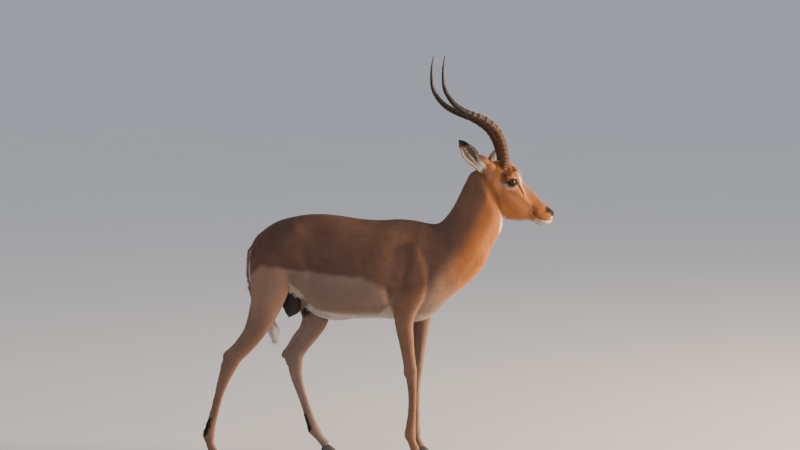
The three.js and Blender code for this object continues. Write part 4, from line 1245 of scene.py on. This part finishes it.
# Painted shade in the grooves between the rings.
groove_shade = product(tree, ranged(tree, ring_shares[0], 0.0, 0.35, 0.9, 0.0), ring_shares[2])
colour = mixed(tree, groove_shade, colour, (0.014, 0.009, 0.006))
crest_paling = ranged(tree, product(tree, ring_shares[0], fine), 0.3, 0.55, 0.0, 0.7)
colour = mixed(tree, crest_paling, colour, (0.32, 0.19, 0.1))
tree.links.new(colour, shader.inputs["Base Color"])
relief = node(tree, "ShaderNodeMath", {0: fine, 1: lines}, operation="ADD").outputs[0]
add_bump(tree, shader, relief, 0.8, 0.001)
tree.links.new(ranged(tree, ring_shares[1], 0.5, 0.8, 0.55, 0.3), shader.inputs["Roughness"])

for horn_side, sign in (("left", 1), ("right", -1)):
    rings, shown = horn_rings(sign)
    rings = settled(rings)
    if outward_rings(rings) is not rings:
        rings, shown = rings[:, ::-1], shown[:, ::-1]
    piece = add_grid(f"ringed_horn_{horn_side}", rings, horn_finish, (f"horn_{horn_side}",))
    add_colours(piece.data, "ring_shares", np.vstack([shown.reshape(-1, 4), shown[0].mean(0), shown[-1].mean(0)]))

# ---------------------------------------------------------------- hooves
# Two pointed toes of black keratin to a foot, flat below, with growth lines round them and scuffed edges.
# One toe from heel to tip: x, half width, height of its top.
HOOF = [(-20, 6, 15), (-14, 10, 25), (2, 11.5, 37), (16, 10.5, 33), (30, 7.5, 19), (40, 3, 6)]
TOE_SPREAD = 13.2
HOOF_PULL = 3.0
FEET = {  # x and y of the foot's middle
    "forehoof_right": (139, -60),
    "forehoof_left": (158, 60),
    "hindhoof_right": (-598, -64),
    "hindhoof_left": (-186, 64),
}


def hoof_rings(foot, middle, toe, steps=56, around=64):
    """Sections across one toe from heel to tip: superellipses that lean back, cut flat at the floor, with a
    fine wave for the growth lines, which run level with the coronet."""
    rows = np.array(HOOF, float)
    at = np.linspace(0, rows[-1, 0] - rows[0, 0], steps)
    x, half, top = between(rows, rows[:, 0] - rows[0, 0], at).T
    angle = 2 * np.pi * np.arange(around) / around
    high = np.sign(np.sin(angle)) * np.abs(np.sin(angle)) ** (2 / 2.3)
    wide = np.sign(np.cos(angle)) * np.abs(np.cos(angle)) ** (2 / 2.3) * (1 - 0.12 * high)
    up = unit(np.array([-0.25, 0, 1.0]))
    height = high[None] * top[:, None] * np.hypot(0.25, 1)
    line = 0.22 * np.sin((height + x[:, None] * 0.45) * 2.1) * smooth(2, 8, height)
    width = wide[None] * (half[:, None] + line)
    pull = HOOF_PULL * (x + 20) / 60
    rings = np.zeros((steps, around, 3))
    rings[..., 0] = foot + x[:, None] + (height + line) * up[0]
    rings[..., 1] = middle + toe * (TOE_SPREAD - pull)[:, None] + width
    rings[..., 2] = np.maximum((height + line) * up[2], 0)
    return rings


hoof_finish, tree, shader = new_material("hoof", Roughness=0.45, Specular_IOR_Level=0.45)
place = node(tree, "ShaderNodeTexCoord").outputs["Object"]
streaks = node(tree, "ShaderNodeMapping", {"Vector": place, "Scale": (1.0, 1.0, 7.0)}).outputs[0]
streaks = noise(tree, streaks, 90.0, 6.0, 0.65)
height = node(tree, "ShaderNodeSeparateXYZ", {0: place}).outputs[2]
low_edge = ranged(tree, height, 0.0, 0.012, 1.0, 0.0)
scuffed = product(tree, noise(tree, place, 420.0, 4.0, 0.7), low_edge)
colour = mixed(tree, streaks, (0.012, 0.01, 0.009), (0.075, 0.06, 0.05))
colour = mixed(tree, ranged(tree, scuffed, 0.3, 0.6, 0.0, 0.7), colour, (0.2, 0.165, 0.125))
tree.links.new(colour, shader.inputs["Base Color"])
add_bump(tree, shader, streaks, 0.5, 0.0009)

for foot_name, (foot, middle) in FEET.items():
    for toe_name, toe in (("inner", -np.sign(middle)), ("outer", np.sign(middle))):
        rings = hoof_rings(foot, middle, toe)
        rings = outward_rings((rings - ORIGIN) / 1000.0)
        add_grid(f"toe_{foot_name}_{toe_name}", rings, hoof_finish, (f"{foot_name}_{toe_name}",))

# ---------------------------------------------------------------- short coat
# Flat pointed tufts of a few hairs, rooted in the skin and lying back along it. They are longest on the
# body, short on the legs and finest on the face. Each is a thin wedge of four faces: two root corners under
# the skin, a raised back and a tip.
BODY_HAIR, LEG_HAIR, FOOT_HAIR, NOSE_HAIR = 11.5, 7.5, 5.0, 3.4  # lengths
TUFT_SLIM = 0.092  # width for each unit of length
PATCH = 0.0015  # half of a tuft's patch on the unwrap
SKIN_COUNT = 290000  # tufts on the skin


def face_share(p):
    """0 on the neck, 1 on the face."""
    return smooth(-28, 30, (p[:, 0] - 412) * 0.86 + (p[:, 2] - 960) * 0.5)


def hair_length(p, part):
    """Length of the coat at points: it shortens down the legs and from the back of the head to the nose."""
    leg = of_leg(part)
    body = np.full(len(p), BODY_HAIR)
    body = body + (6.0 - body) * face_share(p) * (part <= HEAD_PART)
    body = body + (NOSE_HAIR - body) * smooth(500, 610, p[:, 0]) * (part <= HEAD_PART)
    down_leg = np.interp(p[:, 2], [30, 110, 380, 640], [FOOT_HAIR, 6.0, LEG_HAIR, BODY_HAIR])
    body = np.where(part == SCROTUM_PART, 3.5, body)
    return np.where(leg, down_leg, np.where(part == TAIL_PART, 16.0, body))


def coat_depth(p, part):
    """How far the coat stands off the skin at points."""
    leg = of_leg(part)
    body = BODY_COAT + (FACE_COAT - BODY_COAT) * face_share(p)
    down_leg = np.interp(p[:, 2], [80, 400, 600], [LEG_COAT, 2.2, BODY_COAT])
    body = np.where(part == SCROTUM_PART, 0.9, body)
    return np.where(leg, down_leg, np.where(part == TAIL_PART, 5.0, body))


def flat_mesh(name, points, corners, uv, normals, marks, strand):
    """A mesh of triangles from arrays, with the unwrap OFBake, soft normals and the coat's marks."""
    mesh = bpy.data.meshes.new(name)
    mesh.vertices.add(len(points))
    mesh.loops.add(corners.size)
    mesh.polygons.add(len(corners))
    mesh.vertices.foreach_set("co", np.ascontiguousarray(points, dtype=np.float32).ravel())
    mesh.loops.foreach_set("vertex_index", np.ascontiguousarray(corners, dtype=np.int32).ravel())
    mesh.polygons.foreach_set("loop_start", np.arange(0, corners.size, 3, dtype=np.int32))
    mesh.polygons.foreach_set("use_smooth", np.ones(len(corners), bool))
    mesh.update(calc_edges=True)
    unwrap = mesh.uv_layers.new(name="OFBake")
    unwrap.data.foreach_set("uv", np.ascontiguousarray(uv[corners.ravel()], dtype=np.float32).ravel())
    add_colours(mesh, "markings", marks)
    add_colours(mesh, "strand", np.repeat(strand[:, None], 4, 1))
    mesh.normals_split_custom_set_from_vertices(unit(normals).astype(np.float32))
    made = bpy.data.objects.new(name, mesh)
    bpy.context.scene.collection.objects.link(made)
    return made


def wedge_tufts(name, root, n, lie, length, width, depth, marks, uv):
    """Wedges at roots in metres. Corners: left, right, back, tip. The back stands at 0.55 of the coat's
    depth a third of the way along, and the tip at 0.5 to 1 of it."""
    count = len(root)
    lie = unit(lie + rng.normal(scale=0.10, size=(count, 3)))
    lie = unit(lie - np.einsum("ij,ij->i", lie, n)[:, None] * n)
    left = np.cross(n, lie)
    sunk = root - n * 0.0004
    tip_height = depth * rng.uniform(0.5, 1.0, count)[:, None]
    back = root + lie * length[:, None] * 0.36 + n * depth * 0.55
    sway = left * (rng.normal(scale=0.07, size=count) * length)[:, None]
    tip = root + lie * length[:, None] + n * tip_height + sway
    half = left * (width / 2)[:, None]
    corners = np.stack([sunk + half, sunk - half, back + sway * 0.3, tip], 1).reshape(-1, 3)
    first = np.arange(count)[:, None, None] * 4
    faces = (first + np.array([[1, 0, 3], [0, 2, 3], [1, 3, 2], [0, 1, 2]])[None]).reshape(-1, 3)
    lean = left * 0.22
    normals = np.stack([n + lean, n - lean, n - lie * 0.05, n + lie * 0.12], 1).reshape(-1, 3)
    patch = np.array([[-1, -1], [1, -1], [0, 0.1], [0, 1]]) * PATCH
    spread = (uv[:, None] * (1 - 2 * PATCH) + PATCH + patch[None]).reshape(-1, 2)
    # Each tuft's tone differs at random; its root corners are darker, as painted shade deep in the coat, and
    # its tip paler.
    tone = np.clip(rng.normal(0.5, 0.2, count)[:, None] + np.array([-0.2, -0.2, 0.0, 0.14]), 0, 1).ravel()
    return flat_mesh(name, corners, faces, spread, normals, np.repeat(marks, 4, axis=0), tone)


def unwrapped(p, form, half):
    """The unwrap of a form's own shape: how far round its section and how far along it each point lies, both
    0 to 1. With `half` the section counts from below to above on either side."""
    station, high, out, _ = on_form(p, form)
    normal = unit(np.gradient(form["centre"], axis=0))
    step = np.linalg.norm(np.gradient(form["centre"], axis=0), axis=1)
    past = np.einsum("ij,ij->i", p - form["centre"][station], normal[station]) / step[station]
    if half:
        round_it = np.arctan2(high, np.abs(out)) / np.pi + 0.5
    else:
        round_it = np.arctan2(high, out) / (2 * np.pi) + 0.5
    return np.clip(np.stack([round_it, (station + past + 0.5) / (len(normal) + 1)], 1), 0, 1)


coat_finish, tree, shader = coloured_as_coat(
    "coat", "strand", Roughness=0.62, Specular_IOR_Level=0.22, Sheen_Weight=0.05, Sheen_Roughness=0.45
)

skin.data.calc_loop_triangles()
triangles = np.empty(len(skin.data.loop_triangles) * 3, int)
skin.data.loop_triangles.foreach_get("vertices", triangles)
triangles = triangles.reshape(-1, 3)
placed = settled(points)
corner = placed[triangles]
area = np.linalg.norm(np.cross(corner[:, 1] - corner[:, 0], corner[:, 2] - corner[:, 0]), axis=1) / 2
middle = points[triangles].mean(1)
middle_part = part[triangles[:, 0]]
length = hair_length(middle, middle_part)
density = (BODY_HAIR / length) ** 1.25
sided_middle = middle * (1, 0, 1) + np.abs(middle[:, 1:2]) * (0, 1, 0)
from_eye = unit(sided_middle - EYE_MIDDLE)
in_eye = (np.linalg.norm(sided_middle - EYE_MIDDLE, axis=1) < 32) & (from_eye @ EYE_LOOK > 0.2)
in_eye &= almond(from_eye @ EYE_LONG * EYE_RADIUS, from_eye @ EYE_HIGH * EYE_RADIUS) < 1.2
in_horn = np.linalg.norm((sided_middle - (452, 29, 1050)) / (20, 16, 26), axis=1) < 1
bare = path_distance(sided_middle, NOSTRIL) < 8.0
bare |= path_distance(middle * (1, 0.75, 1), [(641, 0, 897), (645, 0, 884), (643, 0, 876)]) < 11.5
bare |= path_distance(middle[:, [0, 2]], NOSE_SIDE) < 7.0
bare |= (path_distance(middle[:, [0, 2]], MOUTH) < 1.6) & (middle[:, 0] > 560)
density[in_eye | in_horn | bare | on_an_ear[triangles].any(1)] = 0
density[middle_part == SCROTUM_PART] *= 0.25
shares_of = np.cumsum(area * density)
steps = (np.arange(SKIN_COUNT) + rng.random(SKIN_COUNT)) / SKIN_COUNT
picked = np.searchsorted(shares_of, steps * shares_of[-1])
u, v = np.sqrt(rng.random(SKIN_COUNT)), rng.random(SKIN_COUNT)
weights = np.stack([1 - u, u * (1 - v), u * v], 1)[..., None]
corner = triangles[picked]
root = (placed[corner] * weights).sum(1)
root_flat = (points[corner] * weights).sum(1)
root_n = unit((n[corner] * weights).sum(1))
root_lie = unit((skin_lie[corner] * weights).sum(1))
root_part = middle_part[picked]
root_length = hair_length(root_flat, root_part) * rng.uniform(0.75, 1.2, SKIN_COUNT)
root_width = root_length * TUFT_SLIM * rng.uniform(0.8, 1.25, SKIN_COUNT) + 0.12
root_depth = coat_depth(root_flat, root_part)
root_marks = markings(root_flat, root_n, root_part)

COAT_PIECES = {}  # name: part, which of its tufts
for side_name, of_side in (("right", root_flat[:, 1] < 0), ("left", root_flat[:, 1] >= 0)):
    rump, chest = root_flat[:, 0] < -150, root_flat[:, 0] > 185
    COAT_PIECES[f"coat_rump_{side_name}"] = (TORSO_PART, of_side & rump)
    COAT_PIECES[f"coat_barrel_{side_name}"] = (TORSO_PART, of_side & ~rump & ~chest)
    COAT_PIECES[f"coat_neck_{side_name}"] = (TORSO_PART, of_side & chest)
    COAT_PIECES[f"coat_head_{side_name}"] = (HEAD_PART, of_side)
for leg_name in LEGS:
    COAT_PIECES[f"coat_{leg_name}"] = (PART_OF.index(leg_name), np.ones(SKIN_COUNT, bool))
COAT_PIECES["coat_tail"] = (TAIL_PART, np.ones(SKIN_COUNT, bool))
COAT_PIECES["coat_scrotum"] = (SCROTUM_PART, np.ones(SKIN_COUNT, bool))
for name, (number, chosen) in COAT_PIECES.items():
    own = np.where(chosen & (root_part == number))[0]
    uv = unwrapped(root_flat[own], FORMS[PART_OF[number]], number <= HEAD_PART)
    piece = wedge_tufts(
        name, root[own], root_n[own], root_lie[own], root_length[own] / 1000, root_width[own] / 1000,
        root_depth[own, None] / 1000, root_marks[own], uv,
    )  # fmt: skip
    piece.data.materials.append(coat_finish)
    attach(piece, "root")
    print(name, len(own), "tufts")

# ---------------------------------------------------------------- ears' coat
# Velvet on the backs, and within the cups thin grey hair, darkened with painted shade, with white lines of
# longer hair along them.
EAR_HAIR = 6.0
EAR_COUNT = 11000  # tufts on each ear
EAR_LONG = 420  # long white hairs within each ear


def ear_roots(ear, count, within_share):
    """Roots spread over an ear by its own share and bend, with the ways they face and lie."""
    share, bend = 0.14 + 0.85 * rng.random(count), rng.uniform(-1, 1, count)
    within = rng.random(count) < within_share
    at = ear_surface(ear, share, bend, within)
    along = ear_surface(ear, np.clip(share + 0.01, 0, 1), bend, within) - at
    across = ear_surface(ear, share, bend + 0.01, within) - at
    facing = unit(np.cross(along, across)) * np.where(within, 1, -1)[:, None]
    facing *= np.sign(np.median(np.einsum("ij,j->i", facing[within], ear["open"])) or 1)
    moved = settled(at + facing) - settled(at)
    return share, bend, within, at, unit(moved), unit(settled(at + unit(along)) - settled(at))


for ear_name, ear in EARS.items():
    share, bend, within, at, facing, way = ear_roots(ear, EAR_COUNT, 0.5)
    long_hair = EAR_HAIR * rng.uniform(0.7, 1.2, EAR_COUNT) * np.interp(share, [0.1, 0.8, 1], [1.2, 1.0, 0.6])
    uv = np.stack([(bend + 1) / 4 + 0.5 * within, share], 1)
    piece = wedge_tufts(
        f"coat_{ear_name}", settled(at), facing, way, long_hair / 1000, long_hair * 0.13 / 1000,
        np.full((EAR_COUNT, 1), 0.0011), ear_markings(share, bend, within), uv,
    )  # fmt: skip
    piece.data.materials.append(coat_finish)
    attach(piece, "root")

# ---------------------------------------------------------------- long hair
# Hair long enough to bend: the tail's fringe and white end, the dark tufts above the hind fetlocks, the white
# lines in the ears, the sheath's tuft, the hair round the horns' feet and the lashes.
STRAND_STOPS = (0.0, 0.34, 0.68)  # shares of its length where a strand has a three-sided section


def strands(name, root, n, lie, length, width, rise, droop, marks, uv, finish):
    """Three-sided strands: at share t of its length a strand is at root + lie * t, lifted along n by
    rise * t * (2 - t) and let down by droop * t^2, and it thins to its tip."""
    count = len(root)
    lie = unit(lie + rng.normal(scale=0.13, size=(count, 3)))
    left = unit(np.cross(n, lie))
    upper = np.cross(lie, left)
    turn = 2 * np.pi * np.arange(3) / 3 + np.pi / 6
    down = np.array([0.0, 0.0, -1.0])

    def at(t):
        return root + (lie * t + n * rise * t * (2 - t) + down * droop * t * t) * length[:, None]

    rings = []
    for t in STRAND_STOPS:
        reach = (width * (1 - 0.75 * t**1.5) / 2)[:, None, None]
        section = np.cos(turn)[None, :, None] * left[:, None] + np.sin(turn)[None, :, None] * upper[:, None]
        rings.append(at(t)[:, None] + section * reach)
    corners = np.concatenate([*rings, at(1.0)[:, None]], 1).reshape(-1, 3)
    side = [[k, (k + 1) % 3, 3 + (k + 1) % 3] for k in range(3)]
    side += [[k, 3 + (k + 1) % 3, 3 + k] for k in range(3)]
    outer_side = [[a + 3, b + 3, c + 3] for a, b, c in side]
    one = np.array([[0, 2, 1]] + side + outer_side + [[6, 7, 9], [7, 8, 9], [8, 6, 9]])
    faces = (np.arange(count)[:, None, None] * 10 + one[None]).reshape(-1, 3)
    patch = np.array([(x, y) for y in (-1, -0.3, 0.4) for x in (-1, 0, 1)] + [(0, 1)]) * PATCH
    spread = (uv[:, None] * (1 - 2 * PATCH) + PATCH + patch[None]).reshape(-1, 2)
    round_ring = np.stack([left * c + upper * s for c, s in zip(np.cos(turn), np.sin(turn))], 1)
    round_it = np.concatenate([np.tile(round_ring, (1, 3, 1)), upper[:, None]], 1)
    normals = (np.repeat(n[:, None], 10, 1) + 0.7 * round_it).reshape(-1, 3)
    root_shade_to_tip = np.repeat([-0.15, 0.0, 0.1, 0.15], [3, 3, 3, 1])  # from root to tip: darker at the root as painted shade deep in the coat, paler at the tip
    tone = np.clip(rng.normal(0.5, 0.2, count)[:, None] + root_shade_to_tip, 0, 1).ravel()
    piece = flat_mesh(name, corners, faces, spread, normals, np.repeat(marks, 10, axis=0), tone)
    piece.data.materials.append(finish)
    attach(piece, "root")
    return piece


def some(chosen, count):
    """Skin points among the chosen ones, as many as asked, with a little shift along the skin."""
    picks = rng.choice(np.where(chosen)[0], count)
    shift = unit(np.cross(n[picks], rng.normal(size=(count, 3)))) * rng.uniform(0, 3.0, count)[:, None]
    return picks, placed[picks] + shift / 1000.0


def plain_marks(count, brown=0.0, white=0.0, dark=0.0, warm=0.0):
    """The same shares of the coat's colours for every strand."""
    return np.tile([brown, white, dark, warm], (count, 1))


# The tail: rows of hair down both sides, longest and white at the end.
TAIL_STRANDS = 5200
picks, at = some((part == TAIL_PART) & (points[:, 2] < 745), TAIL_STRANDS)
low_share = smooth(620, 480, points[picks, 2])
_, high, out, _ = on_form(points[picks], FORMS["tail"])
marks = markings(points[picks], n[picks], part[picks])
marks[:, 1] = np.maximum(marks[:, 1], low_share)
marks[:, [0, 2]] *= 1 - low_share[:, None]
length = (18 + 18 * low_share) * rng.uniform(0.6, 1.15, TAIL_STRANDS)
way = unit(skin_lie[picks] + n[picks] * 0.16)
strands(
    "tail_fringe", at, n[picks], way, length / 1000, (0.9 + 0.5 * low_share) / 1000, 0.05, 0.18, marks,
    unwrapped(points[picks], FORMS["tail"], False), coat_finish,
)  # fmt: skip

# Dark tufts over the scent glands above the hind fetlocks.
HEEL_STRANDS = 700
for leg_name, (path, radius) in HEEL_TUFTS.items():
    near = path_distance(points[:, [0, 2]], path) < radius + 2
    own = (part == PART_OF.index(leg_name)) & near & (n[:, 0] < -0.1)
    picks, at = some(own, HEEL_STRANDS)
    length = rng.uniform(7, 13, HEEL_STRANDS)
    strands(
        f"gland_tuft_{leg_name}", at, n[picks], unit(skin_lie[picks] + 0.1 * n[picks]), length / 1000,
        np.full(HEEL_STRANDS, 0.001), 0.06, 0.05, plain_marks(HEEL_STRANDS, dark=0.97),
        unwrapped(points[picks], FORMS[leg_name], False), coat_finish,
    )  # fmt: skip

# White hair in lines within the ears, and thick at their feet.
for ear_name, ear in EARS.items():
    share = 0.2 + 0.56 * rng.random(EAR_LONG) ** 2.2
    line = rng.choice([-0.62, -0.1, 0.62], EAR_LONG)
    spread = 0.05 + 0.3 * smooth(0.4, 0.2, share)
    bend = np.clip(line + rng.normal(size=EAR_LONG) * spread, -0.9, 0.9)
    within = np.ones(EAR_LONG, bool)
    at = ear_surface(ear, share, bend, within)
    facing = unit(settled(at + ear["open"]) - settled(at))
    way = unit(settled(at + ear["out"] + 0.25 * ear["across"] * -np.sign(bend)[:, None]) - settled(at))
    length = rng.uniform(9, 18, EAR_LONG) * np.interp(share, [0.1, 0.5, 0.8], [1.0, 0.8, 0.6])
    strands(
        f"white_hair_{ear_name}", settled(at), facing, way, length / 1000,
        np.full(EAR_LONG, 0.0006), 0.1, 0.02, plain_marks(EAR_LONG, white=0.75),
        np.stack([(bend + 1) / 2, share], 1), coat_finish,
    )  # fmt: skip

# The sheath's dark tuft.
SHEATH_STRANDS = 160
picks, at = some(np.linalg.norm(points - (-262, 0, 536), axis=1) < 15, SHEATH_STRANDS)
way = unit(np.tile([-0.55, 0.0, -0.8], (SHEATH_STRANDS, 1)) + 0.3 * n[picks])
length = rng.uniform(14, 26, SHEATH_STRANDS)
strands(
    "sheath_tuft", at, n[picks], way, length / 1000, np.full(SHEATH_STRANDS, 0.001), 0.05, 0.15,
    plain_marks(SHEATH_STRANDS, dark=0.9, brown=0.5), unwrapped(points[picks], FORMS["torso"], True),
    coat_finish,
)  # fmt: skip

# Hair standing up round the foot of each horn.
HORN_FOOT_HAIRS = 900
for side_name, sign in (("right", -1), ("left", 1)):
    angle = rng.uniform(0, 2 * np.pi, HORN_FOOT_HAIRS)
    foot = np.array([452.5, sign * 29.0, 1050.0])
    own = (np.linalg.norm((points - foot) / (27, 23, 30), axis=1) < 1.15) & ~on_an_ear
    picks, at = some(own, HORN_FOOT_HAIRS)
    up_horn = unit(settled(foot + (5, sign * 3, 32)) - settled(foot))
    way = unit(up_horn + 0.2 * n[picks])
    strands(
        f"horn_foot_hair_{side_name}", at, n[picks], way, rng.uniform(4, 8, HORN_FOOT_HAIRS) / 1000,
        np.full(HORN_FOOT_HAIRS, 0.0007), 0.05, 0.0, markings(points[picks], n[picks], part[picks]),
        unwrapped(points[picks], FORMS["head"], True), coat_finish,
    )  # fmt: skip

# Lashes along the upper lids.
LASHES = 90
line = rim_line(720)
upper = np.where((line @ EYE_HIGH > 0.02) & (np.abs(line @ EYE_LONG) < 0.9))[0]
for side_name, sign in (("right", -1), ("left", 1)):
    flip = np.array([1, sign, 1])
    pick = rng.choice(upper, LASHES)
    at = EYE_MIDDLE + line[pick] * (EYE_RADIUS + 1.4)
    facing = unit(settled((at + line[pick]) * flip) - settled(at * flip))
    way = unit(settled((at + EYE_LOOK + 0.5 * EYE_HIGH + 0.4 * line[pick]) * flip) - settled(at * flip))
    strands(
        f"lashes_{side_name}", settled(at * flip), facing, way, rng.uniform(6, 10, LASHES) / 1000,
        np.full(LASHES, 0.0005), 0.0, 0.35, plain_marks(LASHES, dark=1.0),
        np.stack([pick / 720, rng.random(LASHES)], 1), coat_finish,
    )  # fmt: skip

# ---------------------------------------------------------------- floor and light
# A pale studio floor to the horizon, a broad warm light ahead of the animal and a weak cool one from the
# near side.
FLOOR_REACH = 150.0
LIGHTS = {  # place, aimed at, size, watts, colour
    "key": ((7.0, -0.5, 2.0), (0.1, 0.0, 0.8), 3.0, 1650.0, (1.0, 0.75, 0.5)),
    "fill": ((-1.6, -6.0, 2.8), (0.0, 0.0, 0.8), 4.0, 80.0, (0.84, 0.91, 1.0)),
}

corners = np.array([(-1, -1, 0), (1, -1, 0), (1, 1, 0), (-1, 1, 0)])
floor = mesh_from("floor", corners * FLOOR_REACH, [[0, 1, 2, 3]])
floor_finish, tree, shader = new_material("floor", Roughness=0.8)
place = node(tree, "ShaderNodeTexCoord").outputs["Object"]
colour = mixed(tree, noise(tree, place, 1.2, 6.0), (0.70, 0.68, 0.65), (0.76, 0.745, 0.715))
tree.links.new(colour, shader.inputs["Base Color"])
floor.data.materials.append(floor_finish)
floor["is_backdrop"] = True

world = bpy.data.worlds.new("studio")
world.use_nodes = True
world.node_tree.nodes["Background"].inputs["Color"].default_value = (0.8, 0.86, 1.0, 1.0)
world.node_tree.nodes["Background"].inputs["Strength"].default_value = 0.6
bpy.context.scene.world = world
for name, (place, target, size, watts, colour) in LIGHTS.items():
    light = bpy.data.lights.new(name, "AREA")
    light.size, light.energy, light.color = size, watts, colour
    lamp = bpy.data.objects.new(name, light)
    away = np.array(place) - np.array(target)
    lamp.location = place
    tilt = np.arctan2(np.hypot(away[0], away[1]), away[2])
    lamp.rotation_euler = (tilt, 0.0, np.arctan2(away[0], -away[1]))
    bpy.context.scene.collection.objects.link(lamp)

low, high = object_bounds()
sizes = {"cad": [list(cad_low), list(cad_high)], "visual": [list(low), list(high)]}
